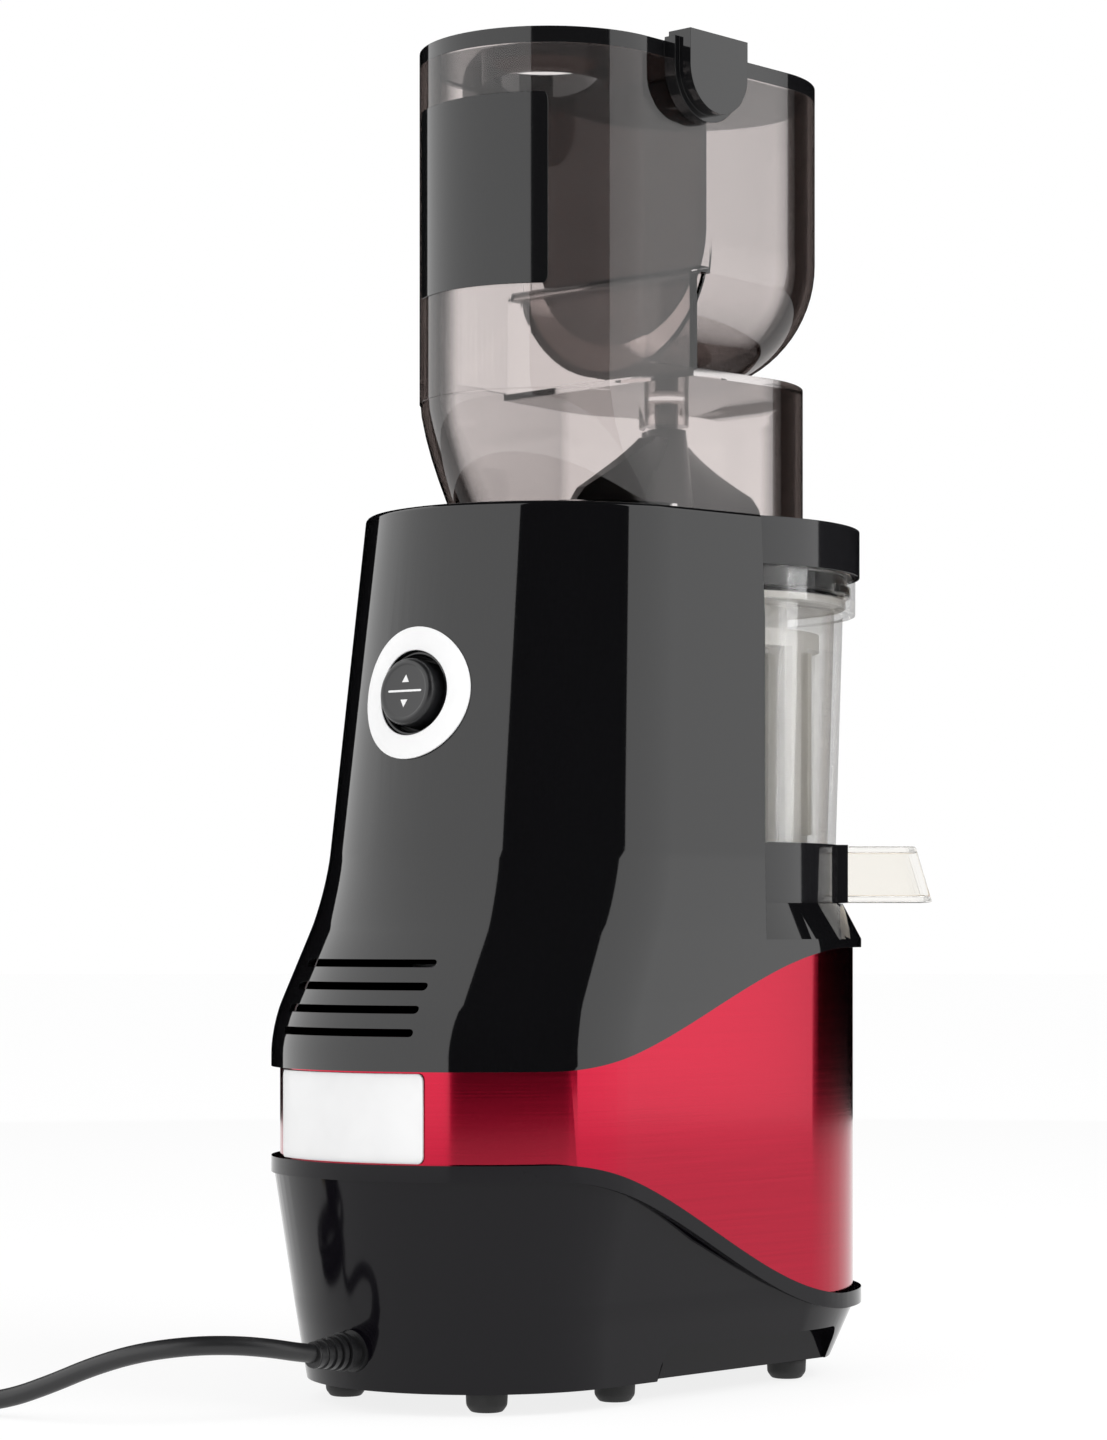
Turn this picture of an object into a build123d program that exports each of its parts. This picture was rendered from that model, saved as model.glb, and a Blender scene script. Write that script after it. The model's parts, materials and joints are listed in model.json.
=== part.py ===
from build123d import *
import math
import os

# Cold press juicer: a motor base with a rear column, a lift-off juice bowl in
# front of the column, and a feed hopper with a flip gate on top of the bowl.
# Millimetres, +Z up, the front of the machine faces -Y. Every piece is drawn
# about the bowl's vertical axis and moved at export, so that the origin lies
# under the middle of the machine, on the surface that it stands on.

# ---- overall levels -------------------------------------------------------
foot_height = 7.0
total_height = 462.5
column_top = 301.0
crease_level = 171.0          # where the column's wall meets its skirt
skirt_level = 126.0           # below this the skirt is upright
band_rear_low = 82.0          # lower edge of the metal band at the rear
band_rear_high = 112.5
band_front_low = 31.0
band_front_high = 152.5
collar_level = 168.0          # top of the sloping collar round the bowl
deck_level = 157.0            # floor that the bowl stands on
bowl_ring_top = 189.0         # top of the bowl's dark base ring
bowl_rim_low = 271.0
bowl_rim_top = 284.5

# ---- bowl ---------------------------------------------------------------------
running_gap = 0.3
bowl_foot_radius = 62.4
bowl_wall = 3.0
bowl_low_radius = bowl_foot_radius - 0.9
bowl_high_radius = bowl_low_radius + 2.5
rim_radius = bowl_high_radius + 4.5
rim_bore = bowl_high_radius + 1.0
spigot_radius = rim_bore - 0.4
lug_radius = rim_bore + 1.4
lid_radius = rim_radius + 1.5
lid_gap = 0.4
collar_radius = bowl_foot_radius + 1.2

# ---- plan sizes of the base, about the bowl axis -------------------------------
skirt_radius = lid_radius + lid_gap + 0.2
base_length = 97.0            # from the front circle's centre to the rear one's
crease_rear_radius = 68.5
crease_rear_y = 74.0
top_rear_radius = 63.5
top_rear_y = 61.5
base_foot_front = 59.5
base_foot_rear = 58.5
base_knee_rear = 62.5
shell_wall = 2.0
band_radius = skirt_radius - 3.0
band_thickness = 1.2
band_overlap = 2.0
column_edge_y = 28.0
wave_rear_y = 130.0
wave_front_y = -20.0
wave_pull = 50.0

# ---- hopper ---------------------------------------------------------------
tube_radius = 45.0
tube_y = 61.5
pouch_y = -14.5
hopper_wall = 2.5
chamber_radius = 49.7
shoulder_level = 352.0
tube_bend_level = 341.0
pouch_bend_level = 403.0
pouch_floor = 354.0
pouch_corner = 30.0
notch_front, notch_rear = 29.0, 35.0
notch_roof = 386.0
rim_height = 5.5
hopper_top = total_height - rim_height
gate_pivot_y = 35.0
gate_pivot_z = hopper_top - 3.0

# ---- spouts ---------------------------------------------------------------
spout_length = 32.6           # from the bowl's foot to the spout's lip
spout_reach = bowl_foot_radius + spout_length
spout_width = 27.0
spout_angle = 45.0

front_reach = (spout_reach + spout_width / 2) * math.cos(math.radians(spout_angle))
rear_reach = base_length + skirt_radius
bowl_y = (front_reach - rear_reach) / 2
clear_top = 1.1 * total_height        # cuts that run out above the machine
clear_side = 1.2 * rear_reach         # cuts that run out at its flanks


# ---- general helpers --------------------------------------------------------
def hull_face(front_r, rear_r, rear_y, z):
    """Outline round a circle at the bowl axis and one behind it."""
    tilt = math.asin((front_r - rear_r) / rear_y)
    c, s = math.cos(tilt), math.sin(tilt)
    front_left = (-front_r * c, front_r * s)
    front_right = (front_r * c, front_r * s)
    rear_left = (-rear_r * c, rear_y + rear_r * s)
    rear_right = (rear_r * c, rear_y + rear_r * s)
    edges = [
        Line(front_right, rear_right),
        ThreePointArc(rear_right, (0, rear_y + rear_r), rear_left),
        Line(rear_left, front_left),
        ThreePointArc(front_left, (0, -front_r), front_right),
    ]
    return Pos(0, 0, z) * make_face(edges)


def disc(radius, low, high, x=0.0, y=0.0):
    return Pos(x, y, low) * Cylinder(
        radius, high - low, align=(Align.CENTER, Align.CENTER, Align.MIN))


def tube(outer, inner, low, high, x=0.0, y=0.0):
    return disc(outer, low, high, x, y) - disc(inner, low, high, x, y)


def block(x0, x1, y0, y1, z0, z1):
    return Pos(x0, y0, z0) * Box(
        x1 - x0, y1 - y0, z1 - z0, align=(Align.MIN, Align.MIN, Align.MIN))


def cone(low_radius, high_radius, low, high, x=0.0, y=0.0):
    return Pos(x, y, low) * Cone(
        low_radius, high_radius, high - low,
        align=(Align.CENTER, Align.CENTER, Align.MIN))


def revolved(points):
    """Ring or body of revolution from (radius, z) points."""
    outline = Plane.XZ * make_face(Polyline(*points, close=True))
    return revolve(outline, Axis.Z, 360)


def side_prism(edges, half_width):
    """Extrude a closed side profile, given as (y, z), across the machine."""
    face = Plane.YZ * make_face(edges)
    return extrude(face, half_width, both=True)


def turned(shape, angle, x=0.0, y=0.0):
    return Pos(x, y, 0) * Rot(0, 0, angle) * Pos(-x, -y, 0) * shape


nodes = {}


def add(name, *solids):
    nodes[name] = list(solids)


# ---- base: wave line, lower shell, band, housing ------------------------------
def wave_space(rear_z, front_z, above):
    """Space above or below the wave line along the machine's flank."""
    far = clear_top if above else -foot_height
    curve = Bezier(
        (wave_rear_y, rear_z), (wave_rear_y - wave_pull, rear_z),
        (wave_front_y + wave_pull, front_z), (wave_front_y, front_z))
    edges = [
        Line((clear_side, rear_z), (wave_rear_y, rear_z)),
        curve,
        Line((wave_front_y, front_z), (-clear_side, front_z)),
        Line((-clear_side, front_z), (-clear_side, far)),
        Line((-clear_side, far), (clear_side, far)),
        Line((clear_side, far), (clear_side, rear_z)),
    ]
    return side_prism(edges, clear_side)


def lower_form(inset):
    sections = [
        hull_face(base_foot_front - inset, base_foot_rear - inset, base_length,
                  foot_height),
        hull_face(skirt_radius - 0.4 - inset, base_knee_rear - inset, base_length,
                  band_front_low),
        hull_face(skirt_radius - inset, skirt_radius - inset - 0.01, base_length,
                  band_rear_low),
    ]
    return loft(sections, ruled=True)


def housing_form(inset, low, top):
    """Skirt, flare and leaning column as one closed form."""
    front = skirt_radius - inset
    skirt_face = hull_face(front, front - 0.01, base_length, low)
    skirt = extrude(skirt_face, skirt_level - low)
    crease = hull_face(front, crease_rear_radius - inset, crease_rear_y, crease_level)
    shoulder = hull_face(front, front - 0.01, base_length, skirt_level)
    flare = loft([shoulder, crease], ruled=True)
    crown = hull_face(front, top_rear_radius - inset, top_rear_y, top)
    column = loft([crease, crown], ruled=True)
    return skirt + flare + column


# ---- switch seat on the leaning rear face -------------------------------------
switch_level = 237.0
switch_turn = math.radians(3.5)       # a little to one side of the middle
switch_sink = 3.8                     # reference plane, below the curved wall
rear_crease = crease_rear_y + crease_rear_radius
rear_top = top_rear_y + top_rear_radius
lean = math.atan2(rear_crease - rear_top, column_top - crease_level)
switch_rise = (switch_level - crease_level) / (column_top - crease_level)
switch_axis_y = crease_rear_y + (top_rear_y - crease_rear_y) * switch_rise
switch_reach = (crease_rear_radius + (top_rear_radius - crease_rear_radius) * switch_rise
                - switch_sink)
switch_side, switch_back = -math.sin(switch_turn), math.cos(switch_turn)
switch_plane = Plane(
    origin=(switch_reach * switch_side, switch_axis_y + switch_reach * switch_back,
            switch_level),
    x_dir=(-switch_back, switch_side, 0),
    z_dir=(switch_side * math.cos(lean), switch_back * math.cos(lean), math.sin(lean)))
ring_radius = 22.4
ring_seat = 0.2                # clearance between the ring and the wall
ring_face = 0.9
bezel_radius = 14.3
bezel_bore = 12.9
cap_radius = 11.4
cap_low = -4.0
cap_high = 8.0
pivot_depth = -2.0
rocker_pin_radius = 1.2


def at_switch(shape):
    return switch_plane.location * shape


vent_levels = [123.8 + 7.5 * i for i in range(4)]
vent_half_width = 30.0
vent_height = 2.6
seal_radius = 13.7
flange_radius = 54.0
flange_top = 147.0
flange_thick = 3.0
flange_bosses = [(-48, -6), (48, -6), (-46, 30), (46, 30)]
board_y = 84.0
board_levels = (192.0, 258.0)
cord_level = 20.0
cord_radius = 3.1
gland_radius = 7.0


def make_housing():
    form = housing_form(0, 100, column_top)
    hollow = housing_form(shell_wall, 90, column_top - shell_wall)
    keep = disc(lid_radius + lid_gap + shell_wall, deck_level - shell_wall, clear_top)
    body = form - (hollow - keep)
    body -= disc(lid_radius + lid_gap, collar_level, clear_top)
    body -= disc(bowl_foot_radius + 0.6, deck_level, clear_top)
    front = block(-clear_side, clear_side, -clear_side, column_edge_y,
                  collar_level - 13, clear_top)
    body -= front - cone(skirt_radius, collar_radius + 0.4, collar_level - 13, collar_level)
    body -= wave_space(band_rear_high, band_front_high, False)
    for level in vent_levels:
        body -= block(-vent_half_width, vent_half_width, rear_top, clear_side,
                      level, level + vent_height)
    body -= disc(seal_radius, deck_level - 5, deck_level + 1)
    body -= at_switch(disc(bezel_radius, -30, 5))
    for x, y in flange_bosses:
        boss = disc(4.2, flange_top, deck_level - shell_wall, x, y)
        body += boss - disc(1.5, flange_top, deck_level - shell_wall, x, y)
    for x in (-22, 22):
        for z in board_levels:
            post = Pos(x, board_y, z) * Rot(90, 0, 0) * Cylinder(
                3, board_y, align=(Align.CENTER, Align.CENTER, Align.MIN))
            body += post - disc(lid_radius + lid_gap + 1, deck_level, clear_top)
    return body


def make_switch_ring():
    """Thin ring that hugs the curved wall round the switch."""
    skin = housing_form(-ring_face, skirt_level - 1, column_top)
    skin -= housing_form(-ring_seat, skirt_level - 2, column_top)
    return skin & at_switch(disc(ring_radius, -4, 8) - disc(bezel_radius + 0.1, -5, 9))


grip_depth_x = 53.5            # back wall of the two finger recesses
grip_front, grip_rear = -24.0, 72.0
grip_roof = 19.0
lower_wall = 2.4


def grip_space(side, margin, low, grow=0.0):
    """Room of one finger recess, widened on its closed sides by a margin."""
    x0, x1 = sorted((side * (grip_depth_x - margin), side * clear_side))
    return block(x0, x1, grip_front - margin, grip_rear + margin, low,
                 grip_roof + margin + grow)


def make_lower_base():
    body = lower_form(0) - lower_form(lower_wall)
    for side in (-1, 1):
        body += lower_form(0) & grip_space(side, lower_wall, foot_height)
        body -= grip_space(side, 0, foot_height - 1)
    body -= wave_space(band_rear_low, band_front_low, True)
    rebate = extrude(hull_face(band_radius + 0.1, band_radius + 0.09, base_length, 20), 80)
    rebate -= wave_space(band_rear_low - band_overlap - 0.1,
                         band_front_low - band_overlap - 0.1, False)
    hole = Pos(0, 140, cord_level) * Rot(-90, 0, 0) * Cylinder(
        gland_radius, 30, align=(Align.CENTER, Align.CENTER, Align.MIN))
    return body - rebate - hole


foot_spots = [(-33, 128), (33, 128), (-45, 78), (45, 78), (-45, -14), (45, -14)]
plate_inset = lower_wall + 0.25
plate_top = foot_height + 2.4
mount_spots = [(-24, 56), (24, 56), (-24, 100), (24, 100)]
motor_y = 78.0
motor_radius = 41.0


def make_bottom_plate():
    plate = extrude(
        hull_face(base_foot_front - plate_inset, base_foot_rear - plate_inset,
                  base_length, foot_height), plate_top - foot_height)
    for side in (-1, 1):
        plate -= grip_space(side, lower_wall + running_gap, 0)
    for i in range(6):
        y = motor_y - 27.5 + 11 * i
        plate -= block(-14, 14, y - 2, y + 2, 0, 20)
    return plate


def make_feet():
    feet = []
    for x, y in foot_spots:
        outline = [(0, 0), (5.2, 0), (6.8, 2.2), (7.0, foot_height), (0, foot_height)]
        feet.append(Pos(x, y, 0) * revolved(outline))
    return feet


def make_band():
    outer = extrude(hull_face(band_radius, band_radius - 0.01, base_length, 20), 140)
    inner = extrude(hull_face(band_radius - band_thickness,
                              band_radius - band_thickness - 0.01, base_length, 20), 140)
    ring = outer - inner
    ring -= wave_space(band_rear_high + band_overlap, band_front_high + band_overlap, True)
    ring -= wave_space(band_rear_low - band_overlap, band_front_low - band_overlap, False)
    return ring


def make_rating_plate():
    bowed = tube(band_radius + 1.5, band_radius + 0.1, band_rear_low + 0.6,
                 band_rear_high - 0.6, 0, base_length)
    return bowed & block(-32, 32, base_length, clear_side, 0, clear_top)


# ---- motor ------------------------------------------------------------------
stator_low, stator_high = 48.0, 84.0
rotor_radius = 22.2
stator_bore = 22.6
motor_shaft_radius = 4.0
shaft_fit = 0.05
bearing_radius = 11.0
bearing_height = 7.0
motor_floor = 24.0
motor_top = 106.0
bracket_wall = 2.5


def bearing_ring(low):
    return tube(bearing_radius, motor_shaft_radius + shaft_fit, low, low + bearing_height,
                0, motor_y)


def make_bracket(floor, direction, rim):
    """End shield: plate, rim wall to the stator and a bearing seat."""
    plate_low, plate_high = sorted((floor, floor + direction * 3))
    seat_low, seat_high = sorted((plate_low if direction < 0 else plate_high,
                                  (plate_low if direction < 0 else plate_high)
                                  + direction * bearing_height))
    rim_low, rim_high = sorted((floor, rim))
    body = disc(motor_radius, plate_low, plate_high, 0, motor_y)
    body += tube(motor_radius, motor_radius - bracket_wall, rim_low, rim_high, 0, motor_y)
    body += tube(bearing_radius + 3, bearing_radius, seat_low, seat_high, 0, motor_y)
    body -= disc(8, plate_low - 1, plate_high + 1, 0, motor_y)
    for i in range(6):
        slot = disc(6, plate_low - 1, plate_high + 1, 25, motor_y)
        body -= turned(slot, 60 * i, 0, motor_y)
    return body


def make_fan():
    hub = tube(8, motor_shaft_radius, 36.5, 45.5, 0, motor_y)
    for i in range(7):
        blade = block(7, 23, motor_y - 0.8, motor_y + 0.8, 37, 45)
        hub += turned(blade, 360 / 7 * i, 0, motor_y)
    return hub


# ---- gears ------------------------------------------------------------------
pressure_angle = 25.0
addendum = 0.8
dedendum = 1.05
backlash = 0.14


def involute(angle):
    return math.tan(angle) - angle


def gear_face(module, teeth, internal=False):
    """Involute outline; an internal gear's outline is the hole's edge."""
    pressure = math.radians(pressure_angle)
    pitch = module * teeth / 2
    base = pitch * math.cos(pressure)
    sign = 1 if internal else -1
    tip = pitch + (dedendum if internal else addendum) * module
    root = pitch - (addendum if internal else dedendum) * module
    half = math.pi / (2 * teeth) + sign * backlash / (2 * pitch)
    start = max(root, base)
    radii = [start + (tip - start) * t for t in (0, 0.5, 1)]
    flank = []
    for r in radii:
        roll = math.acos(min(1.0, base / r))
        flank.append((r, half + involute(pressure) - involute(roll)))
    if root < base:
        flank.insert(0, (root, flank[0][1]))
    points = []
    for i in range(teeth):
        centre = 2 * math.pi * i / teeth
        rise = [(r, centre - a) for r, a in flank]
        fall = [(r, centre + a) for r, a in reversed(flank)]
        points += rise + fall
    outline = [(r * math.cos(a), r * math.sin(a)) for r, a in points]
    return make_face(Polyline(*outline, close=True))


def gear(module, teeth, low, high, x=0.0, y=0.0, phase=0.0):
    return Pos(x, y, low) * Rot(0, 0, phase) * extrude(gear_face(module, teeth), high - low)


stage1_module, stage2_module = 1.0, 1.25
pinion1_teeth, wheel1_teeth = 11, 55
pinion2_teeth, wheel2_teeth = 12, 60
cluster_y = stage2_module * (pinion2_teeth + wheel2_teeth) / 2
wheel1_low, wheel1_high = 113.0, 122.0
wheel2_low, wheel2_high = 126.0, 138.0
case_floor = 106.0
case_top = 144.0
case_front_radius = 44.0
case_rear_radius = 28.5
case_wall = 2.5
cluster_pin_radius = 3.0
drive_radius = 8.0
drive_foot_radius = 6.0
hex_flats = 12.0
hex_low, drive_top = 160.0, 184.0


def mesh_phase(teeth, at_angle, gap):
    """Turn that puts a tooth, or a gap, of a wheel towards at_angle."""
    pitch = 360 / teeth
    return at_angle % pitch + (pitch / 2 if gap else 0)


def make_case():
    body = extrude(hull_face(case_front_radius, case_rear_radius, motor_y, case_floor),
                   case_top - case_floor)
    body -= extrude(hull_face(case_front_radius - case_wall, case_rear_radius - case_wall,
                              motor_y, case_floor + case_wall), 100)
    body -= disc(motor_shaft_radius + 1.5, case_floor - 1, 120, 0, motor_y)
    body += disc(6, case_floor, case_floor + 6, 0, cluster_y)
    body -= disc(cluster_pin_radius, case_floor, case_top, 0, cluster_y)
    body += disc(11, case_floor, case_floor + 12)
    body -= disc(drive_foot_radius + shaft_fit, case_floor + case_wall, case_top)
    return body


def make_case_cover():
    body = extrude(hull_face(flange_radius, 36, motor_y, case_top), flange_thick)
    body += disc(16, flange_top, deck_level - 5 - 0.2)
    body -= disc(12, case_top - 1, deck_level)
    body -= disc(cluster_pin_radius, case_top - 1, flange_top + 1, 0, cluster_y)
    body -= disc(bearing_radius, case_top - 1, flange_top + 1, 0, motor_y)
    for x, y in flange_bosses:
        body -= disc(1.8, case_top - 1, flange_top + 1, x, y)
    return body


def make_flange_screws():
    screws = []
    for x, y in flange_bosses:
        screws.append(disc(3.4, case_top - 2.5, case_top, x, y)
                      + disc(1.45, case_top, deck_level - 4, x, y))
    return screws


def make_drive_shaft():
    body = disc(drive_foot_radius, case_floor + case_wall + 0.2, wheel2_low)
    body += disc(drive_radius, wheel2_low, hex_low)
    body += Pos(0, 0, hex_low) * extrude(
        RegularPolygon(hex_flats / 2, 6, major_radius=False), drive_top - hex_low)
    return body


# ---- juice bowl ---------------------------------------------------------------
bowl_floor = 170.0
floor_thick = 3.0
hub_radius = 14.0
hub_bore = 12.6
sleeve_radius = 10.0
gear_low, gear_high = 176.0, 183.0
brush_outer = bowl_foot_radius - 6.9
brush_inner = brush_outer - 7.5
brush_step_radius = brush_outer + 0.5
brush_bottom_ring = brush_outer - 5.0
sun_teeth, idler_teeth, ring_teeth = 18, 12, 42
brush_module = 2 * (brush_bottom_ring - 8.5) / ring_teeth
idler_distance = brush_module * (sun_teeth + idler_teeth) / 2
idler_pin_radius = 3.0
channel_low, channel_high = 174.0, 187.0
spout_low = 168.5
spout_high = 188.5
spout_wall = 2.0
collar_reach = bowl_foot_radius + 2.1
lug_angles = [20, 110, 200, 290]
lug_sweep = 16.0
unlock_angle = 30.0
lug_low, lug_high = bowl_rim_top - 6.5, bowl_rim_top - 3.9


def toward(angle, shape):
    """Turn a shape drawn along -Y so that it points to the given side."""
    return Rot(0, 0, angle) * shape


def sector(outer, inner, low, high, start, sweep):
    """Part of a ring, from a start angle, counter-clockwise."""
    a0, a1 = math.radians(start), math.radians(start + sweep)
    mid = (a0 + a1) / 2
    rim = [(outer * math.cos(a), outer * math.sin(a)) for a in (a0, mid, a1)]
    bore = [(inner * math.cos(a), inner * math.sin(a)) for a in (a1, mid, a0)]
    edges = [ThreePointArc(*rim), Line(rim[2], bore[0]),
             ThreePointArc(*bore), Line(bore[2], rim[0])]
    return Pos(0, 0, low) * extrude(make_face(edges), high - low)


def make_bowl_ring():
    body = tube(bowl_foot_radius, bowl_foot_radius - 3, deck_level, bowl_ring_top)
    body += disc(bowl_foot_radius - 3, bowl_floor, bowl_floor + floor_thick)
    body += disc(hub_radius, 161, gear_low - 1)
    body += tube(brush_step_radius, brush_bottom_ring + 2, bowl_floor + floor_thick,
                 gear_low - running_gap)
    body -= disc(hub_bore, deck_level, gear_low)
    for side in (-1, 1):
        pin = disc(idler_pin_radius, bowl_floor + 1, bowl_floor + floor_thick + 1,
                   0, side * idler_distance)
        body -= pin
    half = spout_width / 2
    for angle in (-spout_angle, spout_angle):
        sleeve = block(-half - 1.5, half + 1.5, -collar_reach, -bowl_foot_radius + 8,
                       collar_level + running_gap, bowl_ring_top)
        sleeve -= disc(bowl_foot_radius - 3, deck_level, clear_top)
        body += toward(angle, sleeve)
        channel = block(-half + spout_wall, half - spout_wall, -collar_reach - 1, -50,
                        channel_low, channel_high)
        body -= toward(angle, channel)
    return body


def make_spout(angle):
    half = spout_width / 2
    profile = Plane.YZ * make_face(Polyline(
        (-collar_reach, spout_low), (-spout_reach, spout_low),
        (-spout_reach + 6, spout_high), (-collar_reach, spout_high), close=True))
    body = extrude(profile, half, both=True)
    bore = block(-half + spout_wall, half - spout_wall, -spout_reach - 5, -collar_reach + 1,
                 spout_low + spout_wall, spout_high - spout_wall)
    return toward(angle, body - bore)


def make_bowl():
    wall = revolved([
        (bowl_low_radius, bowl_ring_top), (bowl_high_radius, bowl_rim_low),
        (rim_radius, bowl_rim_low), (rim_radius, bowl_rim_top), (rim_bore, bowl_rim_top),
        (rim_bore, bowl_rim_low + 2.5), (bowl_high_radius - bowl_wall, bowl_rim_low + 2.5),
        (bowl_low_radius - bowl_wall, bowl_ring_top)])
    for angle in lug_angles:
        groove = sector(lug_radius + 0.4, rim_bore - 1, lug_low - 0.4, lug_high + 0.4,
                        angle - 1.5, lug_sweep + unlock_angle + 3)
        entry = sector(lug_radius + 0.4, rim_bore - 1, lug_low - 0.4, bowl_rim_top + 1,
                       angle + unlock_angle - 1.5, lug_sweep + 3)
        wall -= groove + entry
    return wall


# ---- strainer and brush ---------------------------------------------------------
strainer_radius = brush_inner - 4.0
mesh_radius = strainer_radius - 2.4
mesh_thick = 0.7
strainer_low = 184.0
strainer_top = bowl_rim_low + 2.5
hoop_low = (strainer_low + bowl_rim_low) / 2 - 3.5
cage_ribs = 12


def make_strainer():
    sun_tip = brush_module * (sun_teeth / 2 + addendum)
    body = tube(strainer_radius, sun_tip + 0.8, strainer_low, strainer_low + 3)
    body += tube(strainer_radius, mesh_radius + 0.1, strainer_low + 3, strainer_low + 9)
    body += tube(strainer_radius, mesh_radius + 0.1, hoop_low, hoop_low + 3)
    body += tube(strainer_radius, mesh_radius + 0.1, bowl_rim_low - 9, strainer_top)
    body += tube(rim_bore - running_gap, mesh_radius + 0.1, strainer_top, strainer_top + 2.5)
    for i in range(cage_ribs):
        rib = block(-1.3, 1.3, mesh_radius + 0.2, strainer_radius - 0.2,
                    strainer_low + 3, strainer_top)
        body += Rot(0, 0, 360 / cage_ribs * i) * rib
    window = sector(strainer_radius - 4, 26, strainer_low - 1, strainer_low + 4, -65, 30)
    return body - window


brush_top = bowl_rim_low - 7.0
blade_tip_radius = bowl_foot_radius - 4.4


def make_brush():
    ring = disc(brush_bottom_ring, gear_low, gear_high)
    ring += disc(brush_step_radius, gear_low, gear_low + 2.5)
    hole = Pos(0, 0, gear_low - 1) * extrude(
        gear_face(brush_module, ring_teeth, True), gear_high - gear_low + 2)
    body = ring - hole
    body += tube(brush_outer, brush_inner, brush_top - 6, brush_top)
    for i in range(3):
        body += sector(brush_outer, brush_inner, gear_high - 5, brush_top - 2, 120 * i + 60, 16)
        body += sector(brush_outer, brush_inner - 1, gear_low, gear_high + 3, 120 * i + 60, 16)
    return body


def make_blades():
    blades = []
    for i in range(3):
        angle = 120 * i + 60
        inner = sector(brush_inner, strainer_radius + 0.4, gear_high + 7, brush_top - 8,
                       angle + 2, 3)
        outer = sector(blade_tip_radius, brush_outer, gear_high + 9, brush_top - 8,
                       angle + 11, 3)
        blades += [inner, outer]
    return blades


# ---- auger ------------------------------------------------------------------
auger_radius = mesh_radius - mesh_thick - 2.3
auger_low = strainer_low + 4.0
auger_body_top = 258.0
auger_tip = 338.0
auger_pin_top = 347.0
auger_pin_radius = 4.0
flight_turn = 300.0
flight_thick = 5.5
insert_wall = 2.0
insert_low = 163.0


def make_auger():
    foot = sun_teeth * brush_module / 2 - 3
    skirt = auger_radius - 7.6
    core = revolved([
        (0, gear_low - 0.5), (foot, gear_low - 0.5), (foot, auger_low),
        (skirt - 1, auger_low), (skirt, auger_low + 8), (20, auger_body_top),
        (11, auger_body_top + 42), (7, auger_tip), (auger_pin_radius, auger_tip),
        (auger_pin_radius, auger_pin_top), (0, auger_pin_top)])
    throat = auger_radius - 2.6
    bar = Pos(0, 0, auger_low) * Rectangle(2 * auger_radius, flight_thick)
    twisted = Solid.extrude_linear_with_rotation(
        bar.faces()[0], (0, 0, auger_low), (0, 0, auger_tip - auger_low), flight_turn)
    envelope = revolved([
        (0, auger_low), (auger_radius, auger_low), (auger_radius, auger_body_top),
        (throat, auger_body_top + 10), (throat, auger_tip - 22),
        (throat / 2, auger_tip - 4), (0, auger_tip - 4)])
    body = core + (twisted & envelope)
    body += gear(brush_module, sun_teeth, gear_low, gear_high, 0, 0,
                 mesh_phase(sun_teeth, 90, False))
    body += disc(sleeve_radius, insert_low, gear_low + 1)
    bore = Pos(0, 0, deck_level) * extrude(
        RegularPolygon(hex_flats / 2 + insert_wall + 0.2, 6, major_radius=False),
        auger_low - deck_level)
    return body - bore


def make_auger_insert():
    outer = RegularPolygon(hex_flats / 2 + insert_wall + 0.15, 6, major_radius=False)
    inner = RegularPolygon(hex_flats / 2 + 0.15, 6, major_radius=False)
    return Pos(0, 0, insert_low) * extrude(outer - inner, auger_low - insert_low)


# ---- hopper -----------------------------------------------------------------
hopper_low = column_top
gate_pin_radius = 2.0
bearing_boss = 8.0


def stadium_prism(radius, low, high):
    face = hull_face(radius, radius, tube_y - pouch_y, 0)
    return Pos(0, pouch_y, low) * extrude(face, high - low)


def rounding_point(radius):
    """How far inside the corner an arc's middle lies."""
    return radius * (1 - math.sqrt(0.5))


def pouch_form(inset, top):
    """Front pouch: bowed front, and lower edges rounded along both flanks."""
    front = pouch_y - tube_radius + inset
    floor = pouch_floor + inset
    wall = notch_front - inset
    bend = pouch_bend_level - floor
    edges = [
        Line((wall, top), (front, top)),
        Line((front, top), (front, floor + bend)),
        ThreePointArc((front, floor + bend),
                      (front + rounding_point(bend), floor + rounding_point(bend)),
                      (front + bend, floor)),
        Line((front + bend, floor), (wall, floor)),
        Line((wall, floor), (wall, top)),
    ]
    half = tube_radius - inset
    corner = pouch_corner - inset
    section = [
        Line((-half, top), (-half, floor + corner)),
        ThreePointArc((-half, floor + corner),
                      (-half + rounding_point(corner), floor + rounding_point(corner)),
                      (-half + corner, floor)),
        Line((-half + corner, floor), (half - corner, floor)),
        ThreePointArc((half - corner, floor),
                      (half - rounding_point(corner), floor + rounding_point(corner)),
                      (half, floor + corner)),
        Line((half, floor + corner), (half, top)),
        Line((half, top), (-half, top)),
    ]
    trough = extrude(Plane.XZ * make_face(section), clear_side, both=True)
    return stadium_prism(half, floor, top) & side_prism(edges, clear_side) & trough


def tube_space(inset, top):
    """Side profile of the rear tube and of the bridge over the notch."""
    wall = notch_front - inset - 1
    back = notch_rear + inset
    roof = notch_roof + inset
    middle = (notch_front + notch_rear) / 2
    half = back - middle
    edges = [
        Line((wall, top), (wall, roof)),
        Line((wall, roof), (middle, roof)),
        ThreePointArc((middle, roof),
                      (back - rounding_point(half), roof - rounding_point(half)),
                      (back, roof - half)),
        Line((back, roof - half), (back, tube_bend_level)),
        Line((back, tube_bend_level), (clear_side, tube_bend_level)),
        Line((clear_side, tube_bend_level), (clear_side, top)),
        Line((clear_side, top), (wall, top)),
    ]
    return side_prism(edges, clear_side)


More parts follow.
